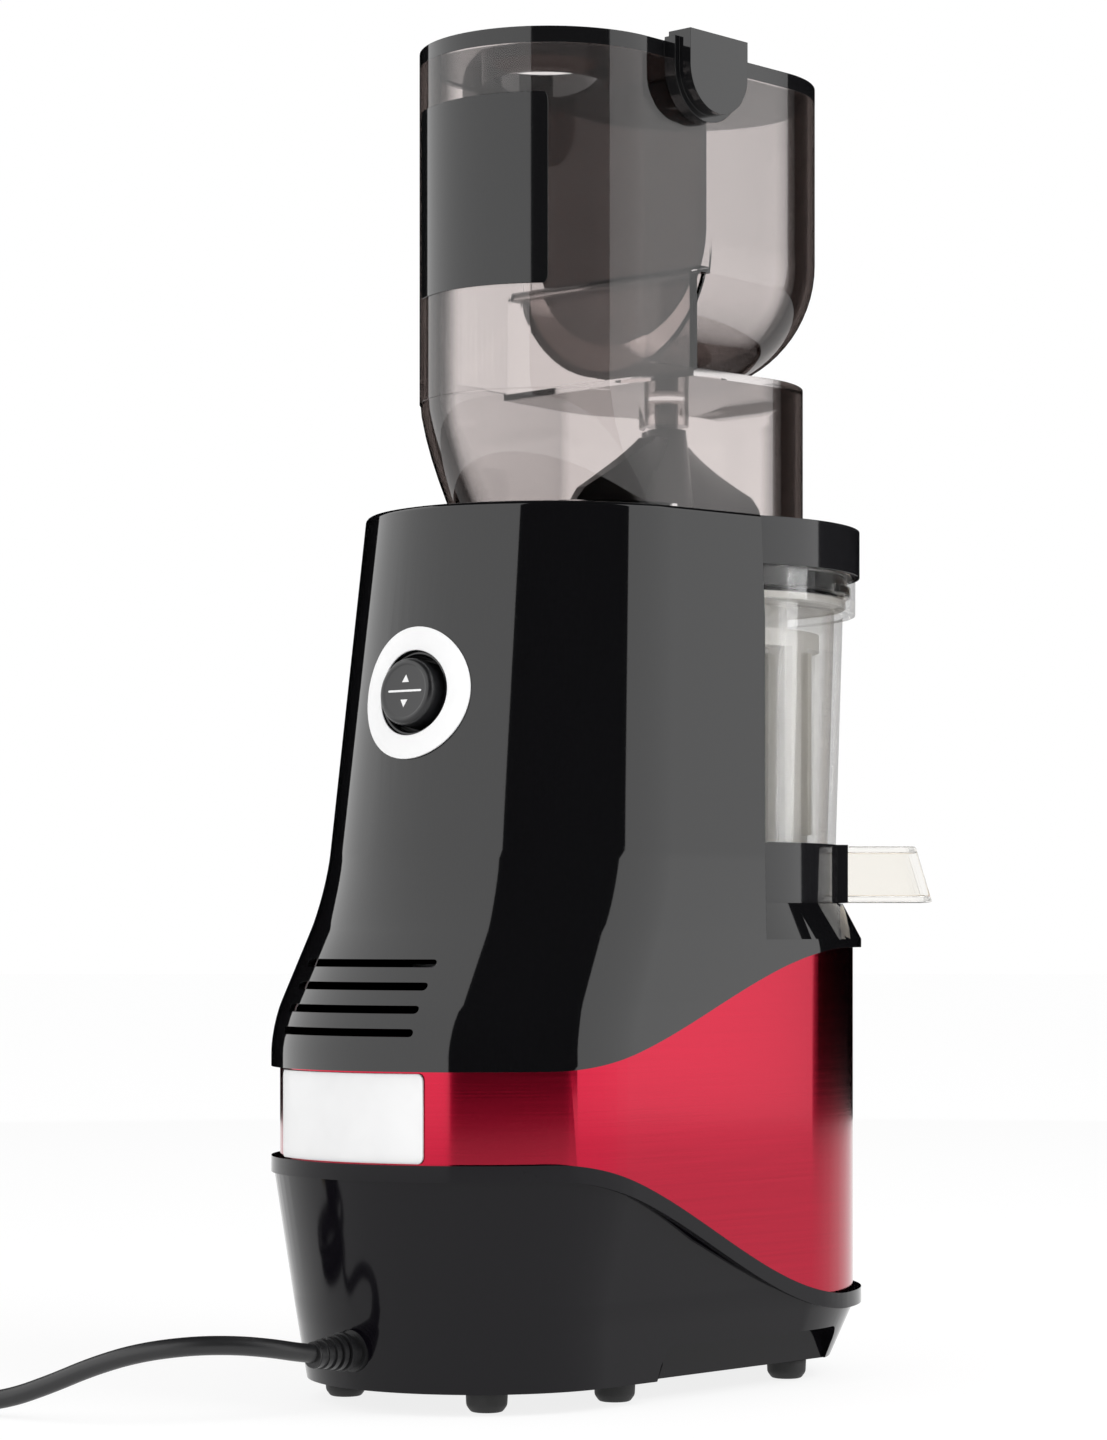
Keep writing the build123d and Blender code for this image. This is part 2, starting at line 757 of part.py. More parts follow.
def chamber_space(inset, low):
    """Side profile of the lower chamber with the tube's curved heel."""
    rear = tube_y + tube_radius - inset
    front = -chamber_radius + inset
    round_r = 10.0 - inset
    roof = shoulder_level - inset
    floor = hopper_low + 1.5 + inset
    neck = chamber_radius - inset - 3
    step = notch_rear + inset
    edges = [
        Line((rear, roof + 10), (rear, tube_bend_level)),
        Bezier((rear, tube_bend_level), (rear, tube_bend_level - 22),
               (rear - 15 + inset / 2, floor + 4), (lid_radius - 8, floor)),
        Line((lid_radius - 8, floor), (neck, floor)),
        Line((neck, floor), (neck, low)),
        Line((neck, low), (front, low)),
        Line((front, low), (front, roof - round_r)),
        ThreePointArc((front, roof - round_r),
                      (front + rounding_point(round_r), roof - rounding_point(round_r)),
                      (front + round_r, roof)),
        Line((front + round_r, roof), (step, roof)),
        Line((step, roof), (step, roof + 10)),
        Line((step, roof + 10), (rear, roof + 10)),
    ]
    return side_prism(edges, clear_side)


def hopper_form(inset, low, top):
    tube_part = stadium_prism(tube_radius - inset, tube_bend_level, top)
    upper = (tube_part & tube_space(inset, top)) + pouch_form(inset, top)
    plan = hull_face(chamber_radius - inset, tube_radius - inset, tube_y, low)
    lower = extrude(plan, shoulder_level - low) & chamber_space(inset, low)
    return upper + lower


def make_hopper():
    body = hopper_form(0, hopper_low, hopper_top)
    body -= hopper_form(hopper_wall, hopper_low - 3, hopper_top + 3)
    body += disc(bearing_boss, auger_tip + 1.5, shoulder_level - 1)
    body -= disc(auger_pin_radius + running_gap, auger_tip, auger_pin_top + 0.5)
    for side in (-1, 1):
        body -= pivot_rod(gate_pin_radius + shaft_fit, side, tube_radius - 4, tube_radius + 1)
    return body


def pivot_rod(radius, side, near, far):
    rod = Cylinder(radius, far - near, align=(Align.CENTER, Align.CENTER, Align.MIN))
    return Pos(side * near, gate_pivot_y, gate_pivot_z) * Rot(0, side * 90, 0) * rod


magnet_low = bowl_rim_top + 4.5


def make_lid_ring():
    seat = bowl_rim_top + 2.5
    bore = spigot_radius - 2.6
    body = tube(lid_radius, bore, seat, hopper_low)
    body += tube(lid_radius, lid_radius - 2.5, bowl_rim_top, seat)
    body += tube(spigot_radius, bore, lug_low, seat)
    body += tube(bore, chamber_radius - hopper_wall, hopper_low - 3, hopper_low)
    for angle in lug_angles:
        body += sector(lug_radius, spigot_radius - 1, lug_low, lug_high, angle, lug_sweep)
    body -= block(-4, 4, lid_radius - 6, lid_radius - 1.4, magnet_low, magnet_low + 6)
    return body


def make_gasket():
    return tube(lid_radius - 2.7, spigot_radius + 0.2, bowl_rim_top + 0.3,
                bowl_rim_top + 2.4)


ear_radius = 15.3
ear_reach = 10.0
ear_step = 2.2                 # the ear's foot is wider by this all round
ear_step_reach = 5.0
ear_top = total_height + 3.3
mouth_radius = 40.0
mouth_front = 20.0
gate_gap = 0.8
gate_front = 22.0
gate_plate_low, gate_plate_high = hopper_top + 0.5, hopper_top + 3.0
gate_hole = 20.0
gate_hole_y = tube_y + 2.0
gate_collar = 5.5
panel_front = gate_front + 1.0
panel_thick = 2.5
panel_half = 38.0
panel_lift = 9.5                      # room under the panel, over the pouch's floor
panel_bend = pouch_floor + hopper_wall + panel_lift + panel_half
lug_x = 35.0
lug_thick = 2.0
lug_rounding = 3.4


def mouth_face(radius, front, z):
    edges = [
        Line((radius, front), (radius, tube_y)),
        ThreePointArc((radius, tube_y), (0, tube_y + radius), (-radius, tube_y)),
        Line((-radius, tube_y), (-radius, front)),
        Line((-radius, front), (radius, front)),
    ]
    return Pos(0, 0, z) * make_face(edges)


def ear_part(side, radius, reach, top):
    """Upright tab, round below, that stands out from the hopper's flank."""
    near = tube_radius + 0.2
    far = tube_radius + reach
    x0, x1 = sorted((side * near, side * far))
    upright = block(x0, x1, gate_pivot_y - radius, gate_pivot_y + radius, gate_pivot_z, top)
    round_end = pivot_rod(radius, side, near, far)
    return upright + (round_end & block(x0, x1, -clear_side, clear_side, 0, gate_pivot_z))


def make_rim():
    body = stadium_prism(tube_radius, hopper_top, total_height)
    cover = stadium_prism(tube_radius - 4, hopper_top + 2.5, total_height + 1)
    body -= cover & block(-60, 60, -80, mouth_front - 3, hopper_top, total_height + 2)
    body -= extrude(mouth_face(mouth_radius, mouth_front, hopper_top - 1), 10)
    for side in (-1, 1):
        foot = ear_part(side, ear_radius + ear_step, ear_step_reach, ear_top - ear_step)
        body += foot + ear_part(side, ear_radius, ear_reach, ear_top)
        x0, x1 = sorted((side * (tube_radius - 4), side * (tube_radius + ear_step_reach)))
        body += block(x0, x1, gate_pivot_y - ear_radius - ear_step,
                      gate_pivot_y + ear_radius + ear_step, hopper_top, total_height)
        body -= pivot_rod(gate_pin_radius + shaft_fit, side, tube_radius,
                          tube_radius + ear_step_reach + 0.5)
    return body


def make_gate():
    gate = extrude(mouth_face(mouth_radius - gate_gap, gate_front, gate_plate_low),
                   gate_plate_high - gate_plate_low)
    gate += disc(gate_hole + 2, gate_plate_low - gate_collar, gate_plate_high, 0, gate_hole_y)
    gate -= disc(gate_hole, gate_plate_low - gate_collar - 1, gate_plate_high + 1,
                 0, gate_hole_y)
    gate += block(-panel_half, panel_half, panel_front, panel_front + panel_thick,
                  panel_bend, gate_plate_low + 1)
    gate += Pos(0, panel_front, panel_bend) * Rot(-90, 0, 0) * Cylinder(
        panel_half, panel_thick, align=(Align.CENTER, Align.CENTER, Align.MIN))
    for side in (-1, 1):
        x0, x1 = sorted((side * lug_x, side * (lug_x + lug_thick)))
        lug = pivot_rod(lug_rounding, side, lug_x, lug_x + lug_thick)
        lug += block(x0, x1, gate_pivot_y - lug_rounding, gate_pivot_y + lug_rounding,
                     gate_pivot_z, gate_plate_low + 1)
        gate += lug - pivot_rod(gate_pin_radius, side, lug_x - 1, lug_x + lug_thick + 1)
    return gate


def make_gate_pins():
    return [pivot_rod(gate_pin_radius, side, lug_x, tube_radius + ear_step_reach)
            for side in (-1, 1)]


def make_gate_spring():
    near = lug_x + lug_thick + 0.6
    coils = []
    for i in range(3):
        coils.append(Pos(near + 0.9 * i, gate_pivot_y, gate_pivot_z)
                     * Rot(0, 90, 0) * Torus(2.7, 0.42))
    return coils


# ---- cord ---------------------------------------------------------------------
# Route of the free cord, about the bowl axis: out of the gland, up in a low
# arch, down to the table and off to the coil behind the machine's right side.
cord_route = [
    (0, 176.7, 20.4), (1, 190, 23), (6, 204, 25), (16, 216, 25), (30, 225, 22.5),
    (45, 231, 17.5), (60, 236, 11), (75, 241, 5.5), (91, 246, 3.2), (108, 250, 3.3),
]
coil_x, coil_y = 150.2, 260.0
coil_inner, coil_outer = 27.0, 43.0
coil_height = 13.0
gland_start = 155.0
gland_end = 176.0


def route_radii(points):
    """Largest tangent arc that the two runs at each corner allow."""
    radii = []
    for a, b, c in zip(points, points[1:], points[2:]):
        before, after = Vector(*b) - Vector(*a), Vector(*c) - Vector(*b)
        turn = math.radians(before.get_angle(after))
        run = min(before.length, after.length)
        radii.append(0.45 * run / math.tan(turn / 2))
    return radii


def make_cord():
    radii = route_radii(cord_route)
    path = FilletPolyline(*cord_route, radius=radii)
    start = Plane(origin=path @ 0, z_dir=path % 0)
    tube_solid = sweep(start * Circle(cord_radius), path)
    print("cord radii", [round(r, 1) for r in radii])
    print("cord length", round(path.length, 1), "volume ratio",
          round(tube_solid.volume / (math.pi * cord_radius ** 2 * path.length), 4))
    return tube_solid


def make_gland():
    body = None
    for i in range(5):
        y = gland_start + 6.5 + i * 3.0
        rib = Pos(0, y, cord_level) * Rot(-90, 0, 0) * Cylinder(
            6.4 - 0.5 * i, 1.9, align=(Align.CENTER, Align.CENTER, Align.MIN))
        body = rib if body is None else body + rib
    core = Pos(0, gland_start, cord_level) * Rot(-90, 0, 0) * Cone(
        5.2, 4.2, gland_end - gland_start, align=(Align.CENTER, Align.CENTER, Align.MIN))
    flange = Pos(0, 148, cord_level) * Rot(-90, 0, 0) * Cylinder(
        gland_radius - 0.05, 10, align=(Align.CENTER, Align.CENTER, Align.MIN))
    return body + core + flange


# ---- assembly -------------------------------------------------------------------
def build_nodes():
    add("upper_housing", make_housing())
    add("lower_base", make_lower_base())
    add("bottom_plate", make_bottom_plate())
    add("rubber_feet", *make_feet())
    add("metal_band", make_band())
    add("rating_plate", make_rating_plate())
    add("switch_ring", make_switch_ring())
    pin = at_switch(Pos(0, 0, pivot_depth) * Rot(0, 90, 0)
                    * Cylinder(rocker_pin_radius, 2 * bezel_radius - 0.6))
    bezel = at_switch(disc(bezel_radius - 0.05, -9, 2.8) - disc(bezel_bore, -7, 3))
    add("switch_bezel", bezel - pin)
    add("rocker_pin", pin)
    cap = disc(cap_radius, cap_low, cap_high) - disc(cap_radius - 2, cap_low, cap_high - 3)
    cap += block(-9.6, 9.6, -2.5, 2.5, cap_low, cap_high - 2)
    bore = Pos(0, 0, pivot_depth) * Rot(0, 90, 0) * Cylinder(
        rocker_pin_radius + shaft_fit, 30)
    add("rocker_cap", at_switch(cap - bore))
    add("switch_body", at_switch(block(-10, 10, -13, 13, -25, -9)))
    add("switch_terminals", *[at_switch(block(-3, 3, y - 0.4, y + 0.4, -33, -25))
                              for y in (-8, 0, 8)])
    add("stator_core", tube(motor_radius - 0.5, stator_bore, stator_low, stator_high,
                            0, motor_y))
    add("stator_windings", tube(35.5, 25.5, stator_low - 9, stator_low, 0, motor_y),
        tube(35.5, 25.5, stator_high, stator_high + 9, 0, motor_y))
    add("motor_lower_shield", make_bracket(motor_floor, 1, stator_low))
    add("motor_upper_shield", make_bracket(motor_top, -1, stator_high))
    add("motor_bearings", bearing_ring(motor_floor + 3), bearing_ring(motor_top - 3 - 7))
    add("rotor_core", tube(rotor_radius, motor_shaft_radius, stator_low + 2,
                           stator_high - 2, 0, motor_y))
    mesh_in = mesh_phase(pinion1_teeth, 270, False)
    shaft = disc(motor_shaft_radius, motor_floor - 1, wheel1_low - 1, 0, motor_y)
    shaft += gear(stage1_module, pinion1_teeth, wheel1_low - 2, wheel1_high + 2,
                  0, motor_y, mesh_in)
    add("rotor_shaft", shaft)
    add("cooling_fan", make_fan())
    add("rubber_mounts", *[disc(6, plate_top, motor_floor, x, y) for x, y in mount_spots])
    add("gear_case", make_case())
    add("gear_case_cover", make_case_cover())
    add("flange_screws", *make_flange_screws())
    wheel = gear(stage1_module, wheel1_teeth, wheel1_low, wheel1_high, 0, cluster_y,
                 mesh_phase(wheel1_teeth, 90, True))
    wheel += gear(stage2_module, pinion2_teeth, wheel1_high, wheel2_high + 1, 0, cluster_y,
                  mesh_phase(pinion2_teeth, 270, False))
    wheel += tube(7, cluster_pin_radius + 1, wheel2_high + 1, case_top - 0.4, 0, cluster_y)
    wheel -= disc(cluster_pin_radius + shaft_fit, wheel1_low - 1, case_top, 0, cluster_y)
    add("cluster_gear", wheel)
    add("cluster_pin", disc(cluster_pin_radius, case_floor, flange_top, 0, cluster_y))
    out = gear(stage2_module, wheel2_teeth, wheel2_low, wheel2_high, 0, 0,
               mesh_phase(wheel2_teeth, 90, True))
    for i in range(6):
        out -= Rot(0, 0, 60 * i) * disc(7, wheel2_low - 1, wheel2_high + 1, 24, 0)
    out -= disc(drive_radius, wheel2_low - 1, wheel2_high + 1)
    add("output_gear", out)
    add("drive_shaft", make_drive_shaft())
    add("output_bush", tube(12, drive_radius + shaft_fit, case_top, deck_level - 5.2))
    add("deck_seal", tube(seal_radius, drive_radius + 0.3, deck_level - 4.8, deck_level - 0.5))
    add("control_board", block(-30, 30, board_y, board_y + 1.6,
                               board_levels[0] - 6, board_levels[1] + 6))
    capacitor = Pos(0, board_y + 1.6, board_levels[0] + 12) * Rot(-90, 0, 0) * Cylinder(
        13, 34, align=(Align.CENTER, Align.CENTER, Align.MIN))
    add("run_capacitor", capacitor)
    wall = lid_radius + lid_gap + shell_wall
    add("interlock_sensor", block(-6, 6, wall, wall + 7, magnet_low - 5, magnet_low + 8))
    add("cord_gland", make_gland())
    add("power_cord", make_cord())
    add("cord_coil", tube(coil_outer, coil_inner, 0, coil_height, coil_x, coil_y))
    plug = block(coil_x - 17, coil_x + 21, coil_y + 24, coil_y + 46, coil_height,
                 coil_height + 15)
    add("plug_body", plug)
    add("plug_pins", *[
        Pos(coil_x + 21, coil_y + 35 + dy, coil_height + 7.5) * Rot(0, 90, 0)
        * Cylinder(2.4, 19, align=(Align.CENTER, Align.CENTER, Align.MIN))
        for dy in (-7, 7)])
    add("bowl_base_ring", make_bowl_ring())
    add("juice_bowl", make_bowl())
    add("juice_spout", make_spout(-spout_angle))
    add("pulp_spout", make_spout(spout_angle))
    add("hub_seal", tube(hub_bore, sleeve_radius + 0.3, 168, 174))
    for name, side in (("idler_gear_rear", 1), ("idler_gear_front", -1)):
        teeth = gear(brush_module, idler_teeth, gear_low, gear_high, 0,
                     side * idler_distance, mesh_phase(idler_teeth, 270 * side, True))
        add(name, teeth - disc(idler_pin_radius + shaft_fit, gear_low - 1, gear_high + 1,
                               0, side * idler_distance))
    add("idler_pins", *[disc(idler_pin_radius, bowl_floor + 1, gear_high + 0.6, 0,
                             side * idler_distance) for side in (-1, 1)])
    add("strainer_frame", make_strainer())
    add("strainer_mesh", tube(mesh_radius, mesh_radius - mesh_thick,
                              strainer_low + 3, strainer_top + 1))
    add("brush_frame", make_brush())
    add("brush_blades", *make_blades())
    add("auger", make_auger())
    add("auger_insert", make_auger_insert())
    add("hopper", make_hopper())
    add("lid_ring", make_lid_ring())
    add("lid_gasket", make_gasket())
    add("interlock_magnet", block(-3.9, 3.9, lid_radius - 5.9, lid_radius - 1.6,
                                  magnet_low + 0.1, magnet_low + 5.9))
    add("hopper_rim", make_rim())
    add("flip_gate", make_gate())
    add("gate_pins", *make_gate_pins())
    add("gate_spring", *make_gate_spring())


build_nodes()
os.makedirs("parts", exist_ok=True)
place = Pos(0, bowl_y, 0)
for name, solids in nodes.items():
    placed = [place * solid for solid in solids]
    shape = placed[0] if len(placed) == 1 else Compound(children=[
        s for item in placed for s in item.solids()])
    export_step(shape, os.path.join("parts", name + ".step"))
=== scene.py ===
import json
import math
import bpy
from mathutils import Matrix, Vector
from mathutils.geometry import interpolate_bezier


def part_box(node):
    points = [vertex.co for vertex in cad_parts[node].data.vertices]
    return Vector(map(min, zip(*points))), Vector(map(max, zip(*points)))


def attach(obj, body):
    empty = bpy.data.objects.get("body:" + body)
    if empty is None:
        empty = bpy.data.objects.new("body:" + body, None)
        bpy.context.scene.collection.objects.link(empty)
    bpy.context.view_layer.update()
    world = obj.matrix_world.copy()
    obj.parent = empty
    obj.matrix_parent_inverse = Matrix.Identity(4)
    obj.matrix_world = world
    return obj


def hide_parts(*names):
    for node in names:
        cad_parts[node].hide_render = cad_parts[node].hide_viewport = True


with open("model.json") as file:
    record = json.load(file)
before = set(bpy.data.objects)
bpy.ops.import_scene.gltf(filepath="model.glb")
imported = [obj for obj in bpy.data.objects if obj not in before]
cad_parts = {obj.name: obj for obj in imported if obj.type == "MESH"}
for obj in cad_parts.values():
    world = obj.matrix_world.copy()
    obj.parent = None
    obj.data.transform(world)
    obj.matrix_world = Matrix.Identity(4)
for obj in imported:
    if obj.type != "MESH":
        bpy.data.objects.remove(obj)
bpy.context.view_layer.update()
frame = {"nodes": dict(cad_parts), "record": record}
print("frame loaded:", len(frame["nodes"]), "pieces")

bowlAxis = (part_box("lid_ring")[0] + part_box("lid_ring")[1]) / 2
mm = 0.001


def place(x, y, z):
    # a point given in millimetres from the bowl's axis on the table
    return Vector((x * mm, bowlAxis.y + y * mm, z * mm))


# camera and stage
view = {
    "eye": (-896.0, 1042.5, 157.0),   # level camera, behind and to the left
    "azimuth": 222.34,
    "lens": 95.5,
    "filmHeight": 36.0,
    "lift": 0.149,                    # share of the frame that the view is raised
}


def makeCamera():
    data = bpy.data.cameras.new("camera")
    data.sensor_fit = "VERTICAL"
    data.sensor_height = view["filmHeight"]
    data.lens = view["lens"]
    data.shift_y = view["lift"]
    data.clip_end = 60.0
    camera = bpy.data.objects.new("camera", data)
    camera.location = place(*view["eye"])
    camera.rotation_euler = (math.radians(90), 0, math.radians(view["azimuth"]))
    bpy.context.scene.collection.objects.link(camera)
    bpy.context.scene.camera = camera


makeCamera()
print("camera ready")


# picking and shaping helpers
def pickNothing():
    if bpy.context.object and bpy.context.object.mode != "OBJECT":
        bpy.ops.object.mode_set(mode="OBJECT")
    bpy.ops.object.select_all(action="DESELECT")


def takeUp(piece):
    pickNothing()
    piece.select_set(True)
    bpy.context.view_layer.objects.active = piece


def openMesh(piece):
    takeUp(piece)
    bpy.ops.object.mode_set(mode="EDIT")


def closeMesh():
    bpy.ops.object.mode_set(mode="OBJECT")
    return bpy.context.object


def pick(kind, test):
    # selects vertices, edges or faces of the open mesh by a test on their middle
    piece = bpy.context.object
    bpy.ops.mesh.select_mode(type=kind)
    bpy.ops.mesh.select_all(action="DESELECT")
    bpy.ops.object.mode_set(mode="OBJECT")
    mesh = piece.data
    if kind == "VERT":
        for v in mesh.vertices:
            v.select = test(v.co)
    elif kind == "EDGE":
        for e in mesh.edges:
            a, b = (mesh.vertices[i].co for i in e.vertices)
            e.select = test(a, b)
    else:
        for f in mesh.polygons:
            f.select = test(f.center, f.normal)
    bpy.ops.object.mode_set(mode="EDIT")


def move(x=0.0, y=0.0, z=0.0):
    bpy.ops.transform.translate(value=(x * mm, y * mm, z * mm))


def settle(piece, name, body, replaces=()):
    # the finished piece lies at the origin, unturned and unscaled
    takeUp(piece)
    bpy.ops.object.transform_apply(location=True, rotation=True, scale=True)
    piece.name = name
    piece.data.name = name
    if replaces:
        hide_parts(*replaces)
    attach(piece, body)
    piece.select_set(False)
    return piece


def finishWith(piece, kind, **values):
    takeUp(piece)
    modifier = piece.modifiers.new(kind.lower(), kind)
    for key, value in values.items():
        setattr(modifier, key, value)
    bpy.ops.object.modifier_apply(modifier=modifier.name)
    return piece


def onePoint(spot):
    # a mesh of one vertex at a spot, open for drawing
    pickNothing()
    bpy.ops.mesh.primitive_circle_add(vertices=3, radius=0.001, location=spot)
    piece = bpy.context.object
    bpy.ops.object.mode_set(mode="EDIT")
    bpy.ops.mesh.select_mode(type="VERT")
    bpy.ops.mesh.select_all(action="SELECT")
    bpy.ops.mesh.merge(type="CENTER")
    return piece


def spun(name, outline, steps=96, x=0.0, y=0.0):
    # a piece turned about an upright axis from (radius, height) points, in millimetres
    piece = onePoint(place(x, y, 0))
    first = outline[0]
    move(first[0], 0, first[1])
    for here, there in zip(outline, outline[1:]):
        bpy.ops.mesh.extrude_region_move(TRANSFORM_OT_translate={
            "value": ((there[0] - here[0]) * mm, 0, (there[1] - here[1]) * mm)})
    bpy.ops.mesh.select_all(action="SELECT")
    bpy.ops.mesh.spin(steps=steps, angle=2 * math.pi, center=place(x, y, 0), axis=(0, 0, 1))
    bpy.ops.mesh.select_all(action="SELECT")
    bpy.ops.mesh.remove_doubles(threshold=0.00002)
    bpy.ops.mesh.normals_make_consistent(inside=False)
    closeMesh()
    piece.name = name
    return piece


def rod(name, radius, low, high, steps=96):
    return spun(name, [(0, low), (radius, low), (radius, high), (0, high)], steps)


def tipped(piece, spot, degrees, axis):
    # a piece drawn upright about the bowl's axis, tipped over and carried to a spot
    turn = Matrix.Rotation(math.radians(degrees), 4, axis)
    piece.matrix_world = (Matrix.Translation(spot) @ turn @ Matrix.Translation(-place(0, 0, 0))
                          @ piece.matrix_world)
    return piece


# power cord, first of all the pieces
cordFacts = {
    "diameter": 6.2,
    "route": [(0, 172, 20), (0.3, 181, 21.2), (2, 192, 23.4), (7, 204, 25), (16, 215.5, 25),
              (30, 225, 22.5), (45, 231, 17.5), (60, 236, 11), (75, 241, 5.5), (90, 246.5, 3.3),
              (104, 258, 3.3), (114, 272, 3.3)],
    "coilAt": (150.2, 260.0),
    "coilRadii": (38.0, 26.0),        # outermost and innermost turn, the first on the table
    "coilPoints": 62,
    "perTurn": 16,
    "meets": 140.0,                   # where on the coil the cord arrives, in degrees
    "levels": ((0, 3.3), (29, 3.3), (34, 9.6), (53, 9.6), (61, 14.9)),   # height by point
    "plugArc": ((-42.6, -4.5, 15.6), (-45.4, 9.0, 17.0), (-43.6, 20.0, 18.4),
                (-36.6, 29.0, 19.6), (-26.0, 34.4, 20.5)),
    "plugFace": (-17.0, 35.0, 20.5),  # from the coil's centre, as the arc's points are
    "length": 1.0,
}


def coilPoints():
    # winds inward on the table, climbs one layer and winds out again on top
    step = 360 / cordFacts["perTurn"]
    cx, cy = cordFacts["coilAt"]
    swell = 1 / math.cos(math.radians(step / 2))
    outer, inner = cordFacts["coilRadii"]
    last = cordFacts["coilPoints"] - 1
    points = []
    for i in range(last + 1):
        radius = (inner + (outer - inner) * abs(2 * i / last - 1)) * swell
        angle = math.radians(cordFacts["meets"] - i * step)
        for (n0, z0), (n1, z1) in zip(cordFacts["levels"], cordFacts["levels"][1:]):
            if n0 <= i <= n1:
                height = z0 + (z1 - z0) * (i - n0) / (n1 - n0)
        points.append((cx + radius * math.cos(angle), cy + radius * math.sin(angle), height))
    return points


def makeCord():
    cx, cy = cordFacts["coilAt"]
    points = cordFacts["route"] + coilPoints()
    points += [(cx + x, cy + y, z) for x, y, z in (*cordFacts["plugArc"], cordFacts["plugFace"])]
    curve = bpy.data.curves.new("powerCord", "CURVE")
    curve.dimensions = "3D"
    curve.bevel_depth = 1.0           # a point's radius is then the cord's own
    curve.bevel_resolution = 6
    curve.resolution_u = 8
    curve.use_fill_caps = True
    spline = curve.splines.new("NURBS")
    spline.points.add(len(points) - 1)
    for slot, point in zip(spline.points, points):
        slot.co = (*place(*point), 1)
        slot.radius = cordFacts["diameter"] / 2 * mm
    spline.order_u = 3
    spline.use_endpoint_u = True
    cord = bpy.data.objects.new("powerCord", curve)
    bpy.context.scene.collection.objects.link(cord)
    return cord


powerCord = makeCord()
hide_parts("power_cord", "cord_coil")
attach(powerCord, "base")
print("cord laid")


# shader arithmetic
class Wire:
    # a value or link in a material, used in plain arithmetic
    def __init__(self, sheet, socket):
        self.sheet = sheet
        self.socket = socket

    def maths(self, operation, *others):
        return self.sheet.node("ShaderNodeMath", {"operation": operation}, [self, *others])

    def __add__(self, other):
        return self.maths("ADD", other)

    def __radd__(self, other):
        return self.maths("ADD", other)

    def __sub__(self, other):
        return self.maths("SUBTRACT", other)

    def __rsub__(self, other):
        return self.sheet.node("ShaderNodeMath", {"operation": "SUBTRACT"}, [other, self])

    def __mul__(self, other):
        return self.maths("MULTIPLY", other)

    def __rmul__(self, other):
        return self.maths("MULTIPLY", other)

    def __truediv__(self, other):
        return self.maths("DIVIDE", other)

    def __gt__(self, other):
        return self.maths("GREATER_THAN", other)

    def __lt__(self, other):
        return self.maths("LESS_THAN", other)

    def clamp(self):
        return self.sheet.node("ShaderNodeClamp", {}, [self, 0.0, 1.0])


class Sheet:
    # one material's node tree
    def __init__(self, name):
        self.material = bpy.data.materials.new(name)
        self.material.use_nodes = True
        self.tree = self.material.node_tree
        self.shader = self.tree.nodes["Principled BSDF"]

    def node(self, kind, settings=None, inputs=(), output=0):
        made = self.tree.nodes.new(kind)
        for key, value in (settings or {}).items():
            if key == "stops":
                ramp = made.color_ramp
                while len(ramp.elements) < len(value):
                    ramp.elements.new(0.5)
                for element, (position, colour) in zip(ramp.elements, value):
                    element.position = position
                    element.color = (*colour, 1)
            else:
                setattr(made, key, value)
        pairs = inputs.items() if isinstance(inputs, dict) else enumerate(inputs)
        for key, value in pairs:
            self.feed(made.inputs[key], value)
        return Wire(self, made.outputs[output])

    def feed(self, socket, value):
        if isinstance(value, Wire):
            self.tree.links.new(value.socket, socket)
        elif value is not None:
            if hasattr(socket.default_value, "__len__"):
                size = len(socket.default_value)
                value = (*value, 1) if size == 4 and len(value) == 3 else value
            socket.default_value = value

    def spot(self, scale=(1, 1, 1)):
        coordinates = self.node("ShaderNodeTexCoord", output="Object")
        return self.node("ShaderNodeMapping", {}, {"Vector": coordinates, "Scale": scale})

    def noise(self, scale, detail=3.0, stretch=(1, 1, 1), rough=0.5):
        return self.node("ShaderNodeTexNoise", {}, {
            "Vector": self.spot(stretch), "Scale": scale, "Detail": detail, "Roughness": rough})

    def mix(self, factor, first, second):
        return self.node("ShaderNodeMix", {"data_type": "RGBA"},
                         {0: factor, 6: first, 7: second}, output=2)

    def bump(self, height, strength, distance):
        return self.node("ShaderNodeBump", {}, {
            "Strength": strength, "Distance": distance, "Height": height})

    def set(self, **values):
        for key, value in values.items():
            self.feed(self.shader.inputs[key.replace("_", " ")], value)
        return self.material


def moulded(name, colour, rough, grain=0.0006, depth=0.00002, spread=0.04, **extra):
    # moulded plastic or rubber: a fine grain, and a gloss that wanders a little
    sheet = Sheet(name)
    patches = sheet.noise(22.0, 4.0)
    fine = sheet.noise(1.0 / grain, 2.0)
    shade = [c * 0.82 for c in colour]
    return sheet.set(
        Base_Color=sheet.mix(patches, shade, [min(1.0, c * 1.14) for c in colour]),
        Roughness=(rough - spread / 2) + patches * spread + fine * (spread / 2),
        Normal=sheet.bump(fine, 0.35, depth), **extra)


def gloss(name, colour, rough=0.05, **extra):
    # polished moulding: mirror gloss with a very slight waviness and dull specks
    sheet = Sheet(name)
    wave = sheet.noise(9.0, 2.0)
    speck = sheet.noise(900.0, 1.0)
    dull = (speck > 0.72) * 0.05
    return sheet.set(
        Base_Color=sheet.mix(wave, [c * 0.9 for c in colour], [c * 1.1 for c in colour]),
        Roughness=rough + wave * 0.03 + dull,
        Normal=sheet.bump(wave, 0.04, 0.0002), **extra)


